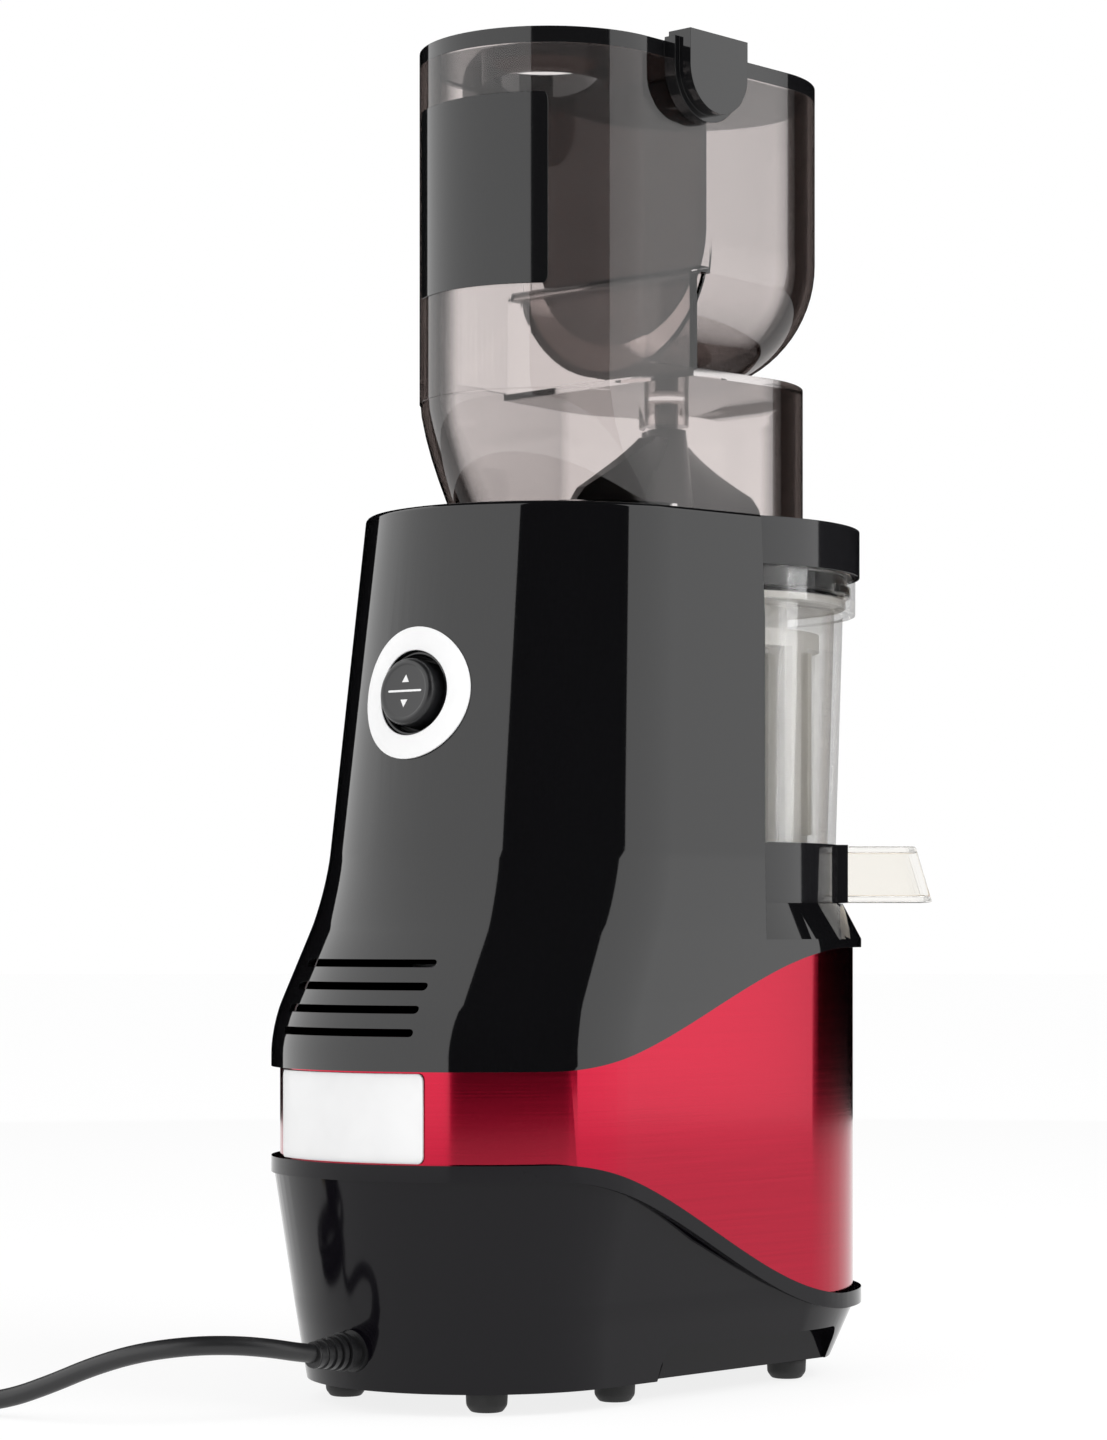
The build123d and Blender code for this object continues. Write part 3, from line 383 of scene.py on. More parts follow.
def clearPlastic(name, tint, edge, rough=0.03, weight=1.0, alpha=1.0, turn=(0.30, 0.47)):
    # clear moulding that takes its edge colour where it is seen along its wall
    sheet = Sheet(name)
    wave = sheet.noise(14.0, 2.0)
    facing = sheet.node("ShaderNodeLayerWeight", {}, {"Blend": 0.5}, output="Facing")
    along = ((facing - turn[0]) / (turn[1] - turn[0])).clamp()
    body = sheet.mix(wave, [c * 0.97 for c in tint], tint)
    return sheet.set(
        Base_Color=sheet.mix(along, body, edge),
        Roughness=rough + wave * 0.02,
        Transmission_Weight=weight, IOR=1.45, Alpha=alpha,
        Normal=sheet.bump(wave, 0.05, 0.0002))


def metal(name, colour, rough, stretch=(1, 1, 1), scale=900.0, depth=0.00001, lift=0.12):
    # ground, cast or brushed metal, by the stretch of its grain
    sheet = Sheet(name)
    grain = sheet.noise(scale, 3.0, stretch)
    patches = sheet.noise(18.0, 3.0)
    bright = [min(1, c * 1.08) for c in colour]
    return sheet.set(
        Base_Color=sheet.mix(grain, [c * 0.86 for c in colour], bright),
        Metallic=1.0, Roughness=rough + grain * lift + patches * 0.06,
        Normal=sheet.bump(grain, 0.3, depth))


def brushedRed():
    sheet = Sheet("brushedRed")
    lines = sheet.noise(420.0, 4.0, (0.05, 0.05, 4.0))
    patches = sheet.noise(6.0, 2.0)
    colour = sheet.mix(lines, (0.37, 0.006, 0.026), (0.46, 0.009, 0.036))
    return sheet.set(
        Base_Color=colour, Metallic=1.0, Roughness=0.09 + lines * 0.06 + patches * 0.02,
        Normal=sheet.bump(lines, 0.10, 0.00002), Coat_Weight=0.25, Coat_Roughness=0.06)


def perforated():
    # strainer sheet: rows of small holes with bright rims; the holes are real, their dark grey fill
    # is painted shade of the inside seen through them
    sheet = Sheet("perforated")
    cells = sheet.node("ShaderNodeTexVoronoi", {"feature": "F1"}, {
        "Vector": sheet.spot((1, 1, 1)), "Scale": 700.0, "Randomness": 0.25})
    hole = cells < 0.26
    return sheet.set(
        # dark grey in the holes: painted shade
        Base_Color=sheet.mix(hole, (0.80, 0.79, 0.77), (0.16, 0.16, 0.16)),
        Metallic=0.55 - hole * 0.4, Roughness=0.32 + hole * 0.4,
        Normal=sheet.bump(1 - hole, 0.4, 0.0001))


finishes = {
    "housing_gloss": gloss("housingGloss", (0.004, 0.004, 0.0045), 0.03),
    "base_satin": gloss("baseGloss", (0.0035, 0.003, 0.0045), 0.07,
                        Specular_IOR_Level=0.24),
    "plate_dark": moulded("plateDark", (0.020, 0.020, 0.021), 0.5),
    "foot_rubber": moulded("footRubber", (0.016, 0.016, 0.016), 0.62, 0.0004, 0.00004),
    "band_red": brushedRed(),
    "trim_white": moulded("trimWhite", (0.84, 0.84, 0.84), 0.3, 0.0009, 0.000006),
    "switch_black": moulded("switchBlack", (0.010, 0.010, 0.011), 0.3, 0.0005, 0.00001),
    "core_steel": metal("coreSteel", (0.34, 0.34, 0.36), 0.4, (0.1, 0.1, 6.0), 300.0),
    "copper_wire": metal("copperWire", (0.72, 0.32, 0.14), 0.3, (0.3, 0.3, 5.0), 400.0, 0.00005),
    "shield_alloy": metal("shieldAlloy", (0.60, 0.61, 0.62), 0.42, (1, 1, 1), 1200.0, 0.00004),
    "steel": metal("groundSteel", (0.60, 0.60, 0.62), 0.2, (0.2, 0.2, 3.0)),
    "gear_plastic": moulded("gearPlastic", (0.78, 0.75, 0.66), 0.42),
    "gear_steel": metal("gearSteel", (0.46, 0.46, 0.47), 0.36, (1, 1, 1), 1500.0, 0.00002),
    "bronze": metal("bronze", (0.62, 0.42, 0.2), 0.36),
    "seal_rubber": moulded("sealRubber", (0.045, 0.045, 0.047), 0.55),
    "board_green": moulded("boardGreen", (0.02, 0.16, 0.06), 0.3),
    "capacitor_grey": moulded("capacitorGrey", (0.50, 0.51, 0.53), 0.25),
    "brass": metal("brass", (0.78, 0.58, 0.26), 0.22),
    "cord_black": moulded("cordBlack", (0.012, 0.012, 0.013), 0.38, 0.0006, 0.00002),
    "bowl_black": gloss("bowlBlack", (0.010, 0.010, 0.011), 0.06),
    "bowl_clear": clearPlastic("bowlClear", (0.985, 0.965, 0.94), (0.16, 0.11, 0.07), alpha=0.32,
                               turn=(0.52, 0.72)),
    "spout_clear": clearPlastic("spoutClear", (0.98, 0.96, 0.92), (0.62, 0.38, 0.12), alpha=0.8,
                                turn=(0.55, 0.85)),
    "hopper_smoke": clearPlastic("hopperSmoke", (0.80, 0.755, 0.745), (0.012, 0.008, 0.007)),
    "rim_black": gloss("rimBlack", (0.006, 0.006, 0.0065), 0.05),
    "frame_pale": moulded("framePale", (0.86, 0.84, 0.80), 0.35, 0.0009, 0.00001,
                          Transmission_Weight=0.45, IOR=1.45),
    "mesh_steel": perforated(),
    "blade_silicone": moulded("bladeSilicone", (0.66, 0.64, 0.58), 0.45,
                              Transmission_Weight=0.3, IOR=1.4),
    # the auger is coloured near-black instead of its pale moulding: painted shade of the dark
    # inside of the chamber, seen through the hopper
    "auger_pale": moulded("augerPaintedShade", (0.035, 0.032, 0.032), 0.3, 0.0008, 0.00001),
    "gate_smoke": clearPlastic("gateSmoke", (0.020, 0.009, 0.007), (0.002, 0.001, 0.001)),
    "magnet": metal("magnet", (0.42, 0.42, 0.44), 0.3),
}
slotOf = {row["node"]: row["material_slot"] for row in frame["record"]["subparts"]}


def dress(piece, finish):
    piece.data.materials.clear()
    piece.data.materials.append(finishes[finish])


for name, node in frame["nodes"].items():
    dress(node, slotOf[name])
dress(powerCord, "cord_black")
print("finishes made:", len(finishes))


# outlines are drawn by extrude and spin, then bridged or filled
def newMesh(name):
    # an empty mesh at the origin, open for drawing
    pickNothing()
    bpy.ops.mesh.primitive_circle_add(vertices=3, radius=0.01)
    piece = bpy.context.object
    piece.name = name
    bpy.ops.object.mode_set(mode="EDIT")
    bpy.ops.mesh.select_mode(type="VERT")
    bpy.ops.mesh.select_all(action="SELECT")
    bpy.ops.mesh.delete(type="VERT")
    return piece


def penDown(spot):
    bpy.ops.mesh.select_all(action="DESELECT")
    bpy.ops.mesh.primitive_circle_add(vertices=3, radius=0.001, location=spot)
    bpy.ops.mesh.merge(type="CENTER")


def penLine(here, there):
    bpy.ops.mesh.extrude_region_move(TRANSFORM_OT_translate={"value": tuple(there - here)})


def penArc(centre, degrees, steps, axis=(0, 0, 1)):
    # counter-clockwise round the axis: with no window, spin turns the other way
    bpy.ops.mesh.spin(steps=steps, angle=-math.radians(degrees), center=centre, axis=axis)


def mergeDoubles(distance=0.01):
    bpy.ops.mesh.select_all(action="SELECT")
    bpy.ops.mesh.remove_doubles(threshold=distance * mm)


def fillOutline():
    mergeDoubles()
    bpy.ops.mesh.edge_face_add()


def pushOut(x=0.0, y=0.0, z=0.0):
    bpy.ops.mesh.select_all(action="SELECT")
    bpy.ops.mesh.extrude_region_move(TRANSFORM_OT_translate={"value": (x * mm, y * mm, z * mm)})
    bpy.ops.mesh.select_all(action="SELECT")
    bpy.ops.mesh.normals_make_consistent(inside=False)


def hullLoop(level, front, rear, rearY, frontSteps=56, rearSteps=40):
    # outline round a circle at the bowl's axis and one behind it
    tilt = math.asin((front - rear) / rearY)
    c, s = math.cos(tilt), math.sin(tilt)
    frontLeft, frontRight = place(-front * c, front * s, level), place(front * c, front * s, level)
    rearRight = place(rear * c, rearY + rear * s, level)
    rearLeft = place(-rear * c, rearY + rear * s, level)
    penDown(frontLeft)
    penArc(place(0, 0, level), 180 + 2 * math.degrees(tilt), frontSteps)
    penLine(frontRight, rearRight)
    penArc(place(0, rearY, level), 180 - 2 * math.degrees(tilt), rearSteps)
    penLine(rearLeft, frontLeft)


def atLevel(level, slack=0.02):
    return lambda a, b: abs(a.z - level * mm) < slack * mm and abs(b.z - level * mm) < slack * mm


def bevelEdges(width, segments, **more):
    bpy.ops.mesh.bevel(offset=width * mm, segments=segments, affect="EDGES",
                       clamp_overlap=True, **more)


def formed(name, sections, soft=()):
    # closed form through level outlines; soft rounds the outline at a level by a width
    piece = newMesh(name)
    for section in sections:
        hullLoop(*section)
    mergeDoubles()
    bpy.ops.mesh.select_mode(type="EDGE")
    bpy.ops.mesh.select_all(action="SELECT")
    bpy.ops.mesh.bridge_edge_loops(type="SINGLE")
    for level in (sections[0][0], sections[-1][0]):
        pick("EDGE", atLevel(level))
        bpy.ops.mesh.edge_face_add()
    bpy.ops.mesh.select_all(action="SELECT")
    bpy.ops.mesh.normals_make_consistent(inside=False)
    for level, width, segments in soft:
        pick("EDGE", atLevel(level))
        bevelEdges(width, segments)
    closeMesh()
    return piece


def straightHull(name, radius, low, high):
    return formed(name, [(level, radius, radius - 0.01, machine["length"])
                         for level in (low, high)])


def sidePrism(name, start, strokes, half):
    # side outline in (y, z), a run of lines and arcs, pushed across the machine
    piece = newMesh(name)
    spot = place(-half, *start)
    penDown(spot)
    for stroke in strokes:
        if stroke[0] == "line":
            there = place(-half, *stroke[1])
            penLine(spot, there)
            spot = there
        else:
            centre, degrees, steps = stroke[1:]
            penArc(place(-half, *centre), degrees, steps, (1, 0, 0))
            turn = math.radians(degrees)
            hub = place(-half, *centre)
            arm = spot - hub
            spot = hub + Vector((0, arm.y * math.cos(turn) - arm.z * math.sin(turn),
                                 arm.y * math.sin(turn) + arm.z * math.cos(turn)))
    fillOutline()
    pushOut(x=2 * half)
    closeMesh()
    return piece


def curveStrokes(a, b, c, d, steps=40):
    # the lines of a Bezier sweep between two (y, z) points
    ends = [Vector((*p, 0)) for p in (a, b, c, d)]
    drawn = interpolate_bezier(*ends, steps + 1)
    return [("line", (p.x, p.y)) for p in drawn[1:]]


def block(name, x0, x1, y0, y1, z0, z1):
    pickNothing()
    middle = place((x0 + x1) / 2, (y0 + y1) / 2, (z0 + z1) / 2)
    bpy.ops.mesh.primitive_cube_add(size=1, location=middle)
    piece = bpy.context.object
    piece.name = name
    bpy.ops.object.mode_set(mode="EDIT")
    bpy.ops.mesh.select_all(action="SELECT")
    bpy.ops.transform.resize(value=((x1 - x0) * mm, (y1 - y0) * mm, (z1 - z0) * mm))
    closeMesh()
    bpy.ops.object.transform_apply(location=True, rotation=True, scale=True)
    return piece


def shape(piece, cutter, operation="DIFFERENCE"):
    # cuts, joins or trims a piece with another one, which is used up
    finishWith(piece, "BOOLEAN", object=cutter, operation=operation, solver="EXACT")
    bpy.data.objects.remove(cutter, do_unlink=True)
    openMesh(piece)
    mergeDoubles(0.002)
    bpy.ops.mesh.dissolve_degenerate(threshold=0.000002)
    closeMesh()
    return piece


def softened(piece, width, segments=2, limit=35.0):
    # rounds every sharp edge a little and lets the flat faces lead the shading
    if width:
        finishWith(piece, "BEVEL", width=width * mm, segments=segments, limit_method="ANGLE",
                   angle_limit=math.radians(limit), miter_outer="MITER_ARC", use_clamp_overlap=True)
    takeUp(piece)
    bpy.ops.object.shade_smooth_by_angle(angle=math.radians(38))
    finishWith(piece, "WEIGHTED_NORMAL", keep_sharp=True, weight=80)
    return piece


def copied(node, name, width=0.4, segments=2, limit=30.0, merge=0.02):
    # a refined copy of a plain solid: merged, its flat faces made whole, its edges rounded
    piece = bpy.data.objects.new(name, frame["nodes"][node].data.copy())
    bpy.context.scene.collection.objects.link(piece)
    piece.matrix_world = frame["nodes"][node].matrix_world
    openMesh(piece)
    mergeDoubles(merge)
    bpy.ops.mesh.dissolve_limited(angle_limit=math.radians(0.4))
    closeMesh()
    return softened(piece, width, segments, limit)


def replaceNode(piece, node, finish, body, name=None):
    settle(piece, name or piece.name, body, (node,))
    dress(piece, finish)
    return piece


def bowedSheet(name, look, radius, middleY, steps, segments):
    # a sheet bent round an upright axis between two angles, with rounded corners
    piece = newMesh(name)
    ends = [place(radius * math.cos(math.radians(a)), middleY + radius * math.sin(math.radians(a)),
                  look["low"]) for a in (look["from"], look["to"])]
    penDown(ends[0])
    penArc(place(0, middleY, look["low"]), look["to"] - look["from"], steps)
    mergeDoubles()
    bpy.ops.mesh.extrude_region_move(TRANSFORM_OT_translate={
        "value": (0, 0, (look["high"] - look["low"]) * mm)})
    pick("VERT", lambda co: any(math.hypot(co.x - e.x, co.y - e.y) < 0.1 * mm for e in ends))
    bpy.ops.mesh.bevel(offset=look["corner"] * mm, segments=segments, affect="VERTICES")
    bpy.ops.mesh.select_all(action="SELECT")
    bpy.ops.mesh.normals_make_consistent(inside=False)
    closeMesh()
    outward = sum(f.normal.y for f in piece.data.polygons) > 0
    return finishWith(piece, "SOLIDIFY", thickness=look["thickness"] * mm,
                      offset=1.0 if outward else -1.0)


# shared sizes of the machine, in millimetres about the bowl's axis
machine = {
    "skirt": 70.6, "length": 97.0, "creaseRear": (68.5, 74.0), "topRear": (63.5, 61.5),
    "skirtTop": 126.0, "crease": 171.0, "top": 301.0, "wall": 2.0,
    "lid": 70.0, "bay": 70.4, "footBay": 63.0, "deck": 157.0, "collar": 168.0,
    "waveEnds": (130.0, -20.0), "wavePull": 50.0,
    "bandLow": (82.0, 31.0), "bandHigh": (112.5, 152.5),
}


cutterLook = {"high": 520.0, "low": -20.0, "side": 220.0, "half": 120.0}   # past the machine


def waveCutter(rear, front, above):
    # everything above or below the wave line along the flanks
    far = cutterLook["high"] if above else cutterLook["low"]
    (rearY, frontY), pull, side = machine["waveEnds"], machine["wavePull"], cutterLook["side"]
    strokes = [("line", (rearY, rear))]
    strokes += curveStrokes((rearY, rear), (rearY - pull, rear), (frontY + pull, front),
                            (frontY, front), 64)
    strokes += [("line", (-side, front)), ("line", (-side, far)), ("line", (side, far))]
    strokes.append(("line", (side, rear)))
    return sidePrism("waveCutter", (side, rear), strokes, cutterLook["half"])


def shifted(wave, height):
    return wave[0] + height, wave[1] + height


def housingSections(inset, low):
    front = machine["skirt"] - inset
    creaseR, creaseY = machine["creaseRear"]
    topR, topY = machine["topRear"]
    long = machine["length"]
    return [(low, front, front - 0.01, long), (machine["skirtTop"], front, front - 0.01, long),
            (machine["crease"], front, creaseR - inset, creaseY),
            (machine["top"] - inset, front, topR - inset, topY)]


# upper housing
housingLook = {
    "skirtSoftness": 9.0,
    "creaseSoftness": 14.0,
    "topEdge": 1.6,
    "columnFront": 28.0,
    "collarFoot": 155.4,
    "collarTopRadius": 64.0,
    "cutAbove": 340,                  # cutters end well above the machine
    "sealRadius": 13.7,
    "vent": {"levels": (123.8, 131.3, 138.8, 146.3), "half": 30.0, "height": 2.6, "from": 125.0},
    "edge": 0.5,
}

switchSeat = {"level": 237.0, "turn": 3.5, "sink": 3.8, "bore": 14.3}


def switchFrame():
    # the switch's own directions on the leaning, rounded rear wall
    creaseR, creaseY = machine["creaseRear"]
    topR, topY = machine["topRear"]
    height = machine["top"] - machine["crease"]
    rise = (switchSeat["level"] - machine["crease"]) / height
    lean = math.atan2(creaseR + creaseY - topR - topY, height)
    reach = creaseR + (topR - creaseR) * rise - switchSeat["sink"]
    turn = math.radians(switchSeat["turn"])
    side, back = -math.sin(turn), math.cos(turn)
    out = Vector((side * math.cos(lean), back * math.cos(lean), math.sin(lean)))
    across = Vector((-back, side, 0))
    middleY = creaseY + (topY - creaseY) * rise
    seat = place(reach * side, middleY + reach * back, switchSeat["level"])
    turned = Matrix((across, out.cross(across), out)).transposed().to_4x4()
    return Matrix.Translation(seat) @ turned


def onSwitch(piece):
    # carries a piece drawn upright about the origin to the switch's seat
    piece.matrix_world = switchFrame() @ Matrix.Translation(-place(0, 0, 0)) @ piece.matrix_world
    takeUp(piece)
    bpy.ops.object.transform_apply(location=True, rotation=True, scale=True)
    return piece


def makeHousing():
    look = housingLook
    soft = [(machine["skirtTop"], look["skirtSoftness"], 6),
            (machine["crease"], look["creaseSoftness"], 8)]
    topSoft = (machine["top"], look["topEdge"], 4)
    body = formed("upperHousing", housingSections(0, 100), soft + [topSoft])
    hollow = formed("hollow", housingSections(machine["wall"], 90), soft)
    bay = machine["bay"] + machine["wall"]
    above = look["cutAbove"]
    shape(hollow, rod("bayWall", bay, 155, above))
    foot, bore = machine["footBay"], machine["bay"]
    deck, collar = machine["deck"], machine["collar"]
    far = cutterLook["half"]
    front = block("front", -far, far, -far, look["columnFront"], look["collarFoot"], above)
    wide = machine["skirt"] + 0.05
    cone = [(0, 150), (wide, 150), (wide, look["collarFoot"]),
            (look["collarTopRadius"], collar), (0, collar)]
    shape(front, spun("cone", cone))
    shape(body, front)
    shape(body, waveCutter(*machine["bandHigh"], False))
    shape(body, spun("bay", [(0, deck), (foot, deck), (foot, collar), (bore, collar),
                             (bore, above), (0, above)]))
    shape(body, hollow)
    vent = look["vent"]
    slots = block("slots", -vent["half"], vent["half"], vent["from"], 200,
                  vent["levels"][0], vent["levels"][0] + vent["height"])
    openMesh(slots)
    pick("EDGE", lambda a, b: abs(a.y - b.y) > 20 * mm)
    bevelEdges(vent["height"] * 0.45, 3)
    bpy.ops.mesh.select_all(action="SELECT")
    for lower, upper in zip(vent["levels"], vent["levels"][1:]):
        bpy.ops.mesh.duplicate_move(TRANSFORM_OT_translate={"value": (0, 0, (upper - lower) * mm)})
    closeMesh()
    shape(body, slots)
    seal = look["sealRadius"]
    shape(body, rod("sealSeat", seal, deck - 5, deck + 1, 48))
    shape(body, onSwitch(rod("switchHole", switchSeat["bore"], -30, 6, 64)))
    softened(body, look["edge"])
    return replaceNode(body, "upper_housing", "housing_gloss", "base")


makeHousing()
print("housing modelled")


# lower base, the band round it and the lip along its wave
baseLook = {
    "sections": ((7.0, 59.5, 58.5), (31.3, 70.2, 62.5), (84.0, 70.6, 70.59)),
    "wall": 2.4,
    "kneeSoftness": 5.0,
    "recess": {"depthX": 53.5, "front": -24.0, "rear": 72.0, "roof": 19.0, "corner": 5.0},
    "bandSeat": 67.7,
    "seatStep": 0.4,                  # the seat ends this far below the band's lower wave
    "glandHole": 7.0,
    "glandFrom": 140,
    "edge": 0.5,
}


def recessBlock(side, margin, low):
    cut = baseLook["recess"]
    x0, x1 = sorted((side * (cut["depthX"] - margin), side * 90.0))
    roof = cut["roof"] + margin
    box = block("recess", x0, x1, cut["front"] - margin, cut["rear"] + margin, low, roof)
    openMesh(box)
    high = roof * mm
    pick("EDGE", lambda a, b: a.z > high - mm and b.z > high - mm and abs(a.x - b.x) > 5 * mm)
    bevelEdges(cut["corner"] + margin, 5)
    closeMesh()
    return box


def makeLowerBase():
    look = baseLook
    levels = [(z, front, rear, machine["length"]) for z, front, rear in look["sections"]]
    body = formed("lowerBase", levels, [(levels[1][0], look["kneeSoftness"], 5)])
    wall, past = look["wall"], (-0.5, 0, 0.5)      # the hollow runs past both open ends
    inner = [(z + more, front - wall, rear - wall, long)
             for more, (z, front, rear, long) in zip(past, levels)]
    hollow = formed("hollow", inner, [(inner[1][0], look["kneeSoftness"], 5)])
    for side in (-1, 1):
        shape(hollow, recessBlock(side, wall, 0))
        shape(body, recessBlock(side, 0, 0))
    shape(body, waveCutter(*machine["bandLow"], True))
    seat = straightHull("bandSeat", look["bandSeat"], 20, 100)
    shape(seat, waveCutter(*shifted(machine["bandLow"], -look["seatStep"]), False))
    shape(body, seat)
    shape(body, hollow)
    hole = rod("glandHole", look["glandHole"], 0, 40, 48)
    shape(body, tipped(hole, place(0, look["glandFrom"], cordFacts["route"][0][2]), -90, "X"))
    softened(body, look["edge"])
    return replaceNode(body, "lower_base", "base_satin", "base")


makeLowerBase()
print("lower base modelled")

bandLook = {"radius": 67.6, "thickness": 1.2, "tuckedHigh": 2.0, "tuckedLow": 0.3}


def makeBand():
    look = bandLook
    ring = straightHull("metalBand", look["radius"], 24, 158)
    shape(ring, straightHull("bandBore", look["radius"] - look["thickness"], 20, 162))
    shape(ring, waveCutter(*shifted(machine["bandHigh"], look["tuckedHigh"]), True))
    shape(ring, waveCutter(*shifted(machine["bandLow"], -look["tuckedLow"]), False))
    softened(ring, 0.15, 1)
    return replaceNode(ring, "metal_band", "band_red", "base")


makeBand()

lipLook = {"outer": 70.6, "inner": 67.8, "above": 0.3, "height": 5.5, "edge": 0.9}


def makeLip():
    # upright lip along the wave of the lower base, outside the band
    look = lipLook
    lip = straightHull("baseLip", look["outer"], 20, 92)
    shape(lip, straightHull("lipBore", look["inner"], 10, 97))
    shape(lip, waveCutter(*shifted(machine["bandLow"], look["above"]), True))
    shape(lip, waveCutter(*shifted(machine["bandLow"], look["above"] - look["height"]), False))
    softened(lip, look["edge"], 3)
    settle(lip, "baseLip", "base")
    dress(lip, "base_satin")


makeLip()
print("band and lip modelled")

# white plate at the rear, bowed with the band and bare
plateLook = {"radius": 67.7, "half": 32.0, "low": 82.6, "high": 111.9, "corner": 2.5,
             "thickness": 1.4}


def makePlate():
    radius = plateLook["radius"]
    reach = math.degrees(math.asin(plateLook["half"] / radius))
    look = {**plateLook, "from": 90 - reach, "to": 90 + reach}
    piece = bowedSheet("ratingPlate", look, radius, machine["length"], 40, 4)
    softened(piece, 0.25, 2)
    return replaceNode(piece, "rating_plate", "trim_white", "base")


makePlate()

# the switch: ring, bezel and rocker cap with a bare divided face
switchLook = {
    "bezel": [(0, -9), (14.2, -9), (14.2, 2.6), (14.0, 2.8), (13.4, 2.8), (12.9, 2.2),
              (12.9, -7), (0, -7)],
    "cap": [(0, 7.6), (8.6, 7.6), (9.0, 7.8), (9.6, 8.0), (10.4, 7.8), (11.1, 7.1), (11.4, 6.0),
            (11.4, -4.0), (9.4, -4.0), (9.4, 5.0), (0, 5.0)],
    "face": 7.6,
    "sunk": 0.2,                      # the marks start below the cap's face
    "line": (7.2, 0.35, 0.12),
    "mark": (3.8, 3.4),               # from the middle to an arrowhead, and its size
}


def makeSwitch():
    ring = copied("switch_ring", "switchRing", 0.25, 2, 50.0)
    replaceNode(ring, "switch_ring", "trim_white", "base")
    bezel = onSwitch(spun("switchBezel", switchLook["bezel"], 72))
    softened(bezel, 0)
    replaceNode(bezel, "switch_bezel", "housing_gloss", "base")
    cap = onSwitch(spun("rockerCap", switchLook["cap"], 72))
    softened(cap, 0)
    replaceNode(cap, "rocker_cap", "switch_black", "rocker")
    half, thick, proud = switchLook["line"]
    face, sunk = switchLook["face"], switchLook["sunk"]
    line = block("switchLine", -half, half, -thick, thick, face - sunk, face + proud)
    openMesh(line)
    pick("EDGE", lambda a, b: abs(a.z - b.z) > 0.1 * mm)
    bevelEdges(thick * 0.9, 3)
    closeMesh()
    apart, size = switchLook["mark"]
    for sign in (-1, 1):              # two plain arrowheads, above and below the line
        pickNothing()
        bpy.ops.mesh.primitive_circle_add(vertices=3, radius=size / 2 * mm, fill_type="NGON",
                                          location=place(0, sign * apart, face - sunk),
                                          rotation=(0, 0, 0 if sign > 0 else math.pi))
        mark = bpy.context.object
        bpy.ops.object.transform_apply(location=True, rotation=True, scale=True)
        openMesh(mark)
        pushOut(z=sunk + proud)
        closeMesh()
        shape(line, mark, "UNION")
    line.matrix_world = switchFrame() @ Matrix.Translation(-place(0, 0, 0))
    settle(line, "switchLine", "rocker")
    dress(line, "trim_white")


makeSwitch()
print("switch modelled")

# hopper: rear tube, front pouch with a rounded bottom, chamber with a curved heel
hopperLook = {
    "wall": 2.5, "tube": 45.0, "tubeY": 61.5, "pouchY": -14.5, "chamber": 49.7,
    "low": 301.0, "top": 457.0, "shoulder": 352.0, "bend": 341.0,
    "pouchFloor": 354.0,
    "notch": (29.0, 35.0), "notchRoof": 386.0,
    "heel": ((305.0, 46.0), (309.0, 48.4), (316.0, 52.2), (323.0, 55.6), (330.0, 58.4),
             (337.0, 60.5), (343.0, 61.3), (348.0, 61.5)),   # rear circle's centre by level
    "heelStep": 1.5, "chamberCorner": 10.0, "neck": 3.0,
    "outerEdge": 2.2,
    "bossRadius": 8.0, "bossLow": 339.5, "bossHole": (4.3, 338.0, 347.5),
    "pinHole": (2.1, 35.0, 454.0),
}


def stadium(name, radius, low, high):
    look = hopperLook
    piece = newMesh(name)
    frontRight, rearRight = place(radius, look["pouchY"], low), place(radius, look["tubeY"], low)
    rearLeft, frontLeft = place(-radius, look["tubeY"], low), place(-radius, look["pouchY"], low)
    penDown(frontRight)
    penLine(frontRight, rearRight)
    penArc(place(0, look["tubeY"], low), 180, 64)
    penLine(rearLeft, frontLeft)
    penArc(place(0, look["pouchY"], low), 180, 64)
    fillOutline()
    pushOut(z=high - low)
    closeMesh()
    return piece


def pouchBody(inset, top):
    # a half-round trough whose front end is turned about its own axis
    look = hopperLook
    radius, floor = look["tube"] - inset, look["pouchFloor"] + inset
    y, wall = look["pouchY"], look["notch"][0] - inset
    body = newMesh("pouch")
    penDown(place(0, y, floor))
    penArc(place(0, y, floor + radius), -90, 18, (0, 1, 0))
    penLine(place(radius, y, floor + radius), place(radius, y, top))
    penLine(place(radius, y, top), place(0, y, top))
    mergeDoubles()
    penArc(place(0, y, 0), -180, 40)
    mergeDoubles()
    plane = place(0, y, 0).y
    pick("EDGE", lambda a, b: abs(a.y - plane) < 0.01 * mm and abs(b.y - plane) < 0.01 * mm)
    bpy.ops.mesh.extrude_region_move(TRANSFORM_OT_translate={"value": (0, (wall - y) * mm, 0)})
    bpy.ops.mesh.edge_face_add()
    mergeDoubles()
    bpy.ops.mesh.normals_make_consistent(inside=False)
    closeMesh()
    return body


def tubeBody(inset, top):
    look = hopperLook
    wall, back = look["notch"][0] - inset - 1, look["notch"][1] + inset
    roof, bend = look["notchRoof"] + inset, look["bend"]
    middle = sum(look["notch"]) / 2
    half = back - middle
    body = stadium("tube", look["tube"] - inset, bend, top)
    strokes = [("line", (wall, roof)), ("line", (middle, roof)),
               ("arc", (middle, roof - half), -90, 8), ("line", (back, bend)),
               ("line", (140, bend)), ("line", (140, top)), ("line", (wall, top))]
    return shape(body, sidePrism("tubeSide", (wall, top), strokes, 90), "INTERSECT")


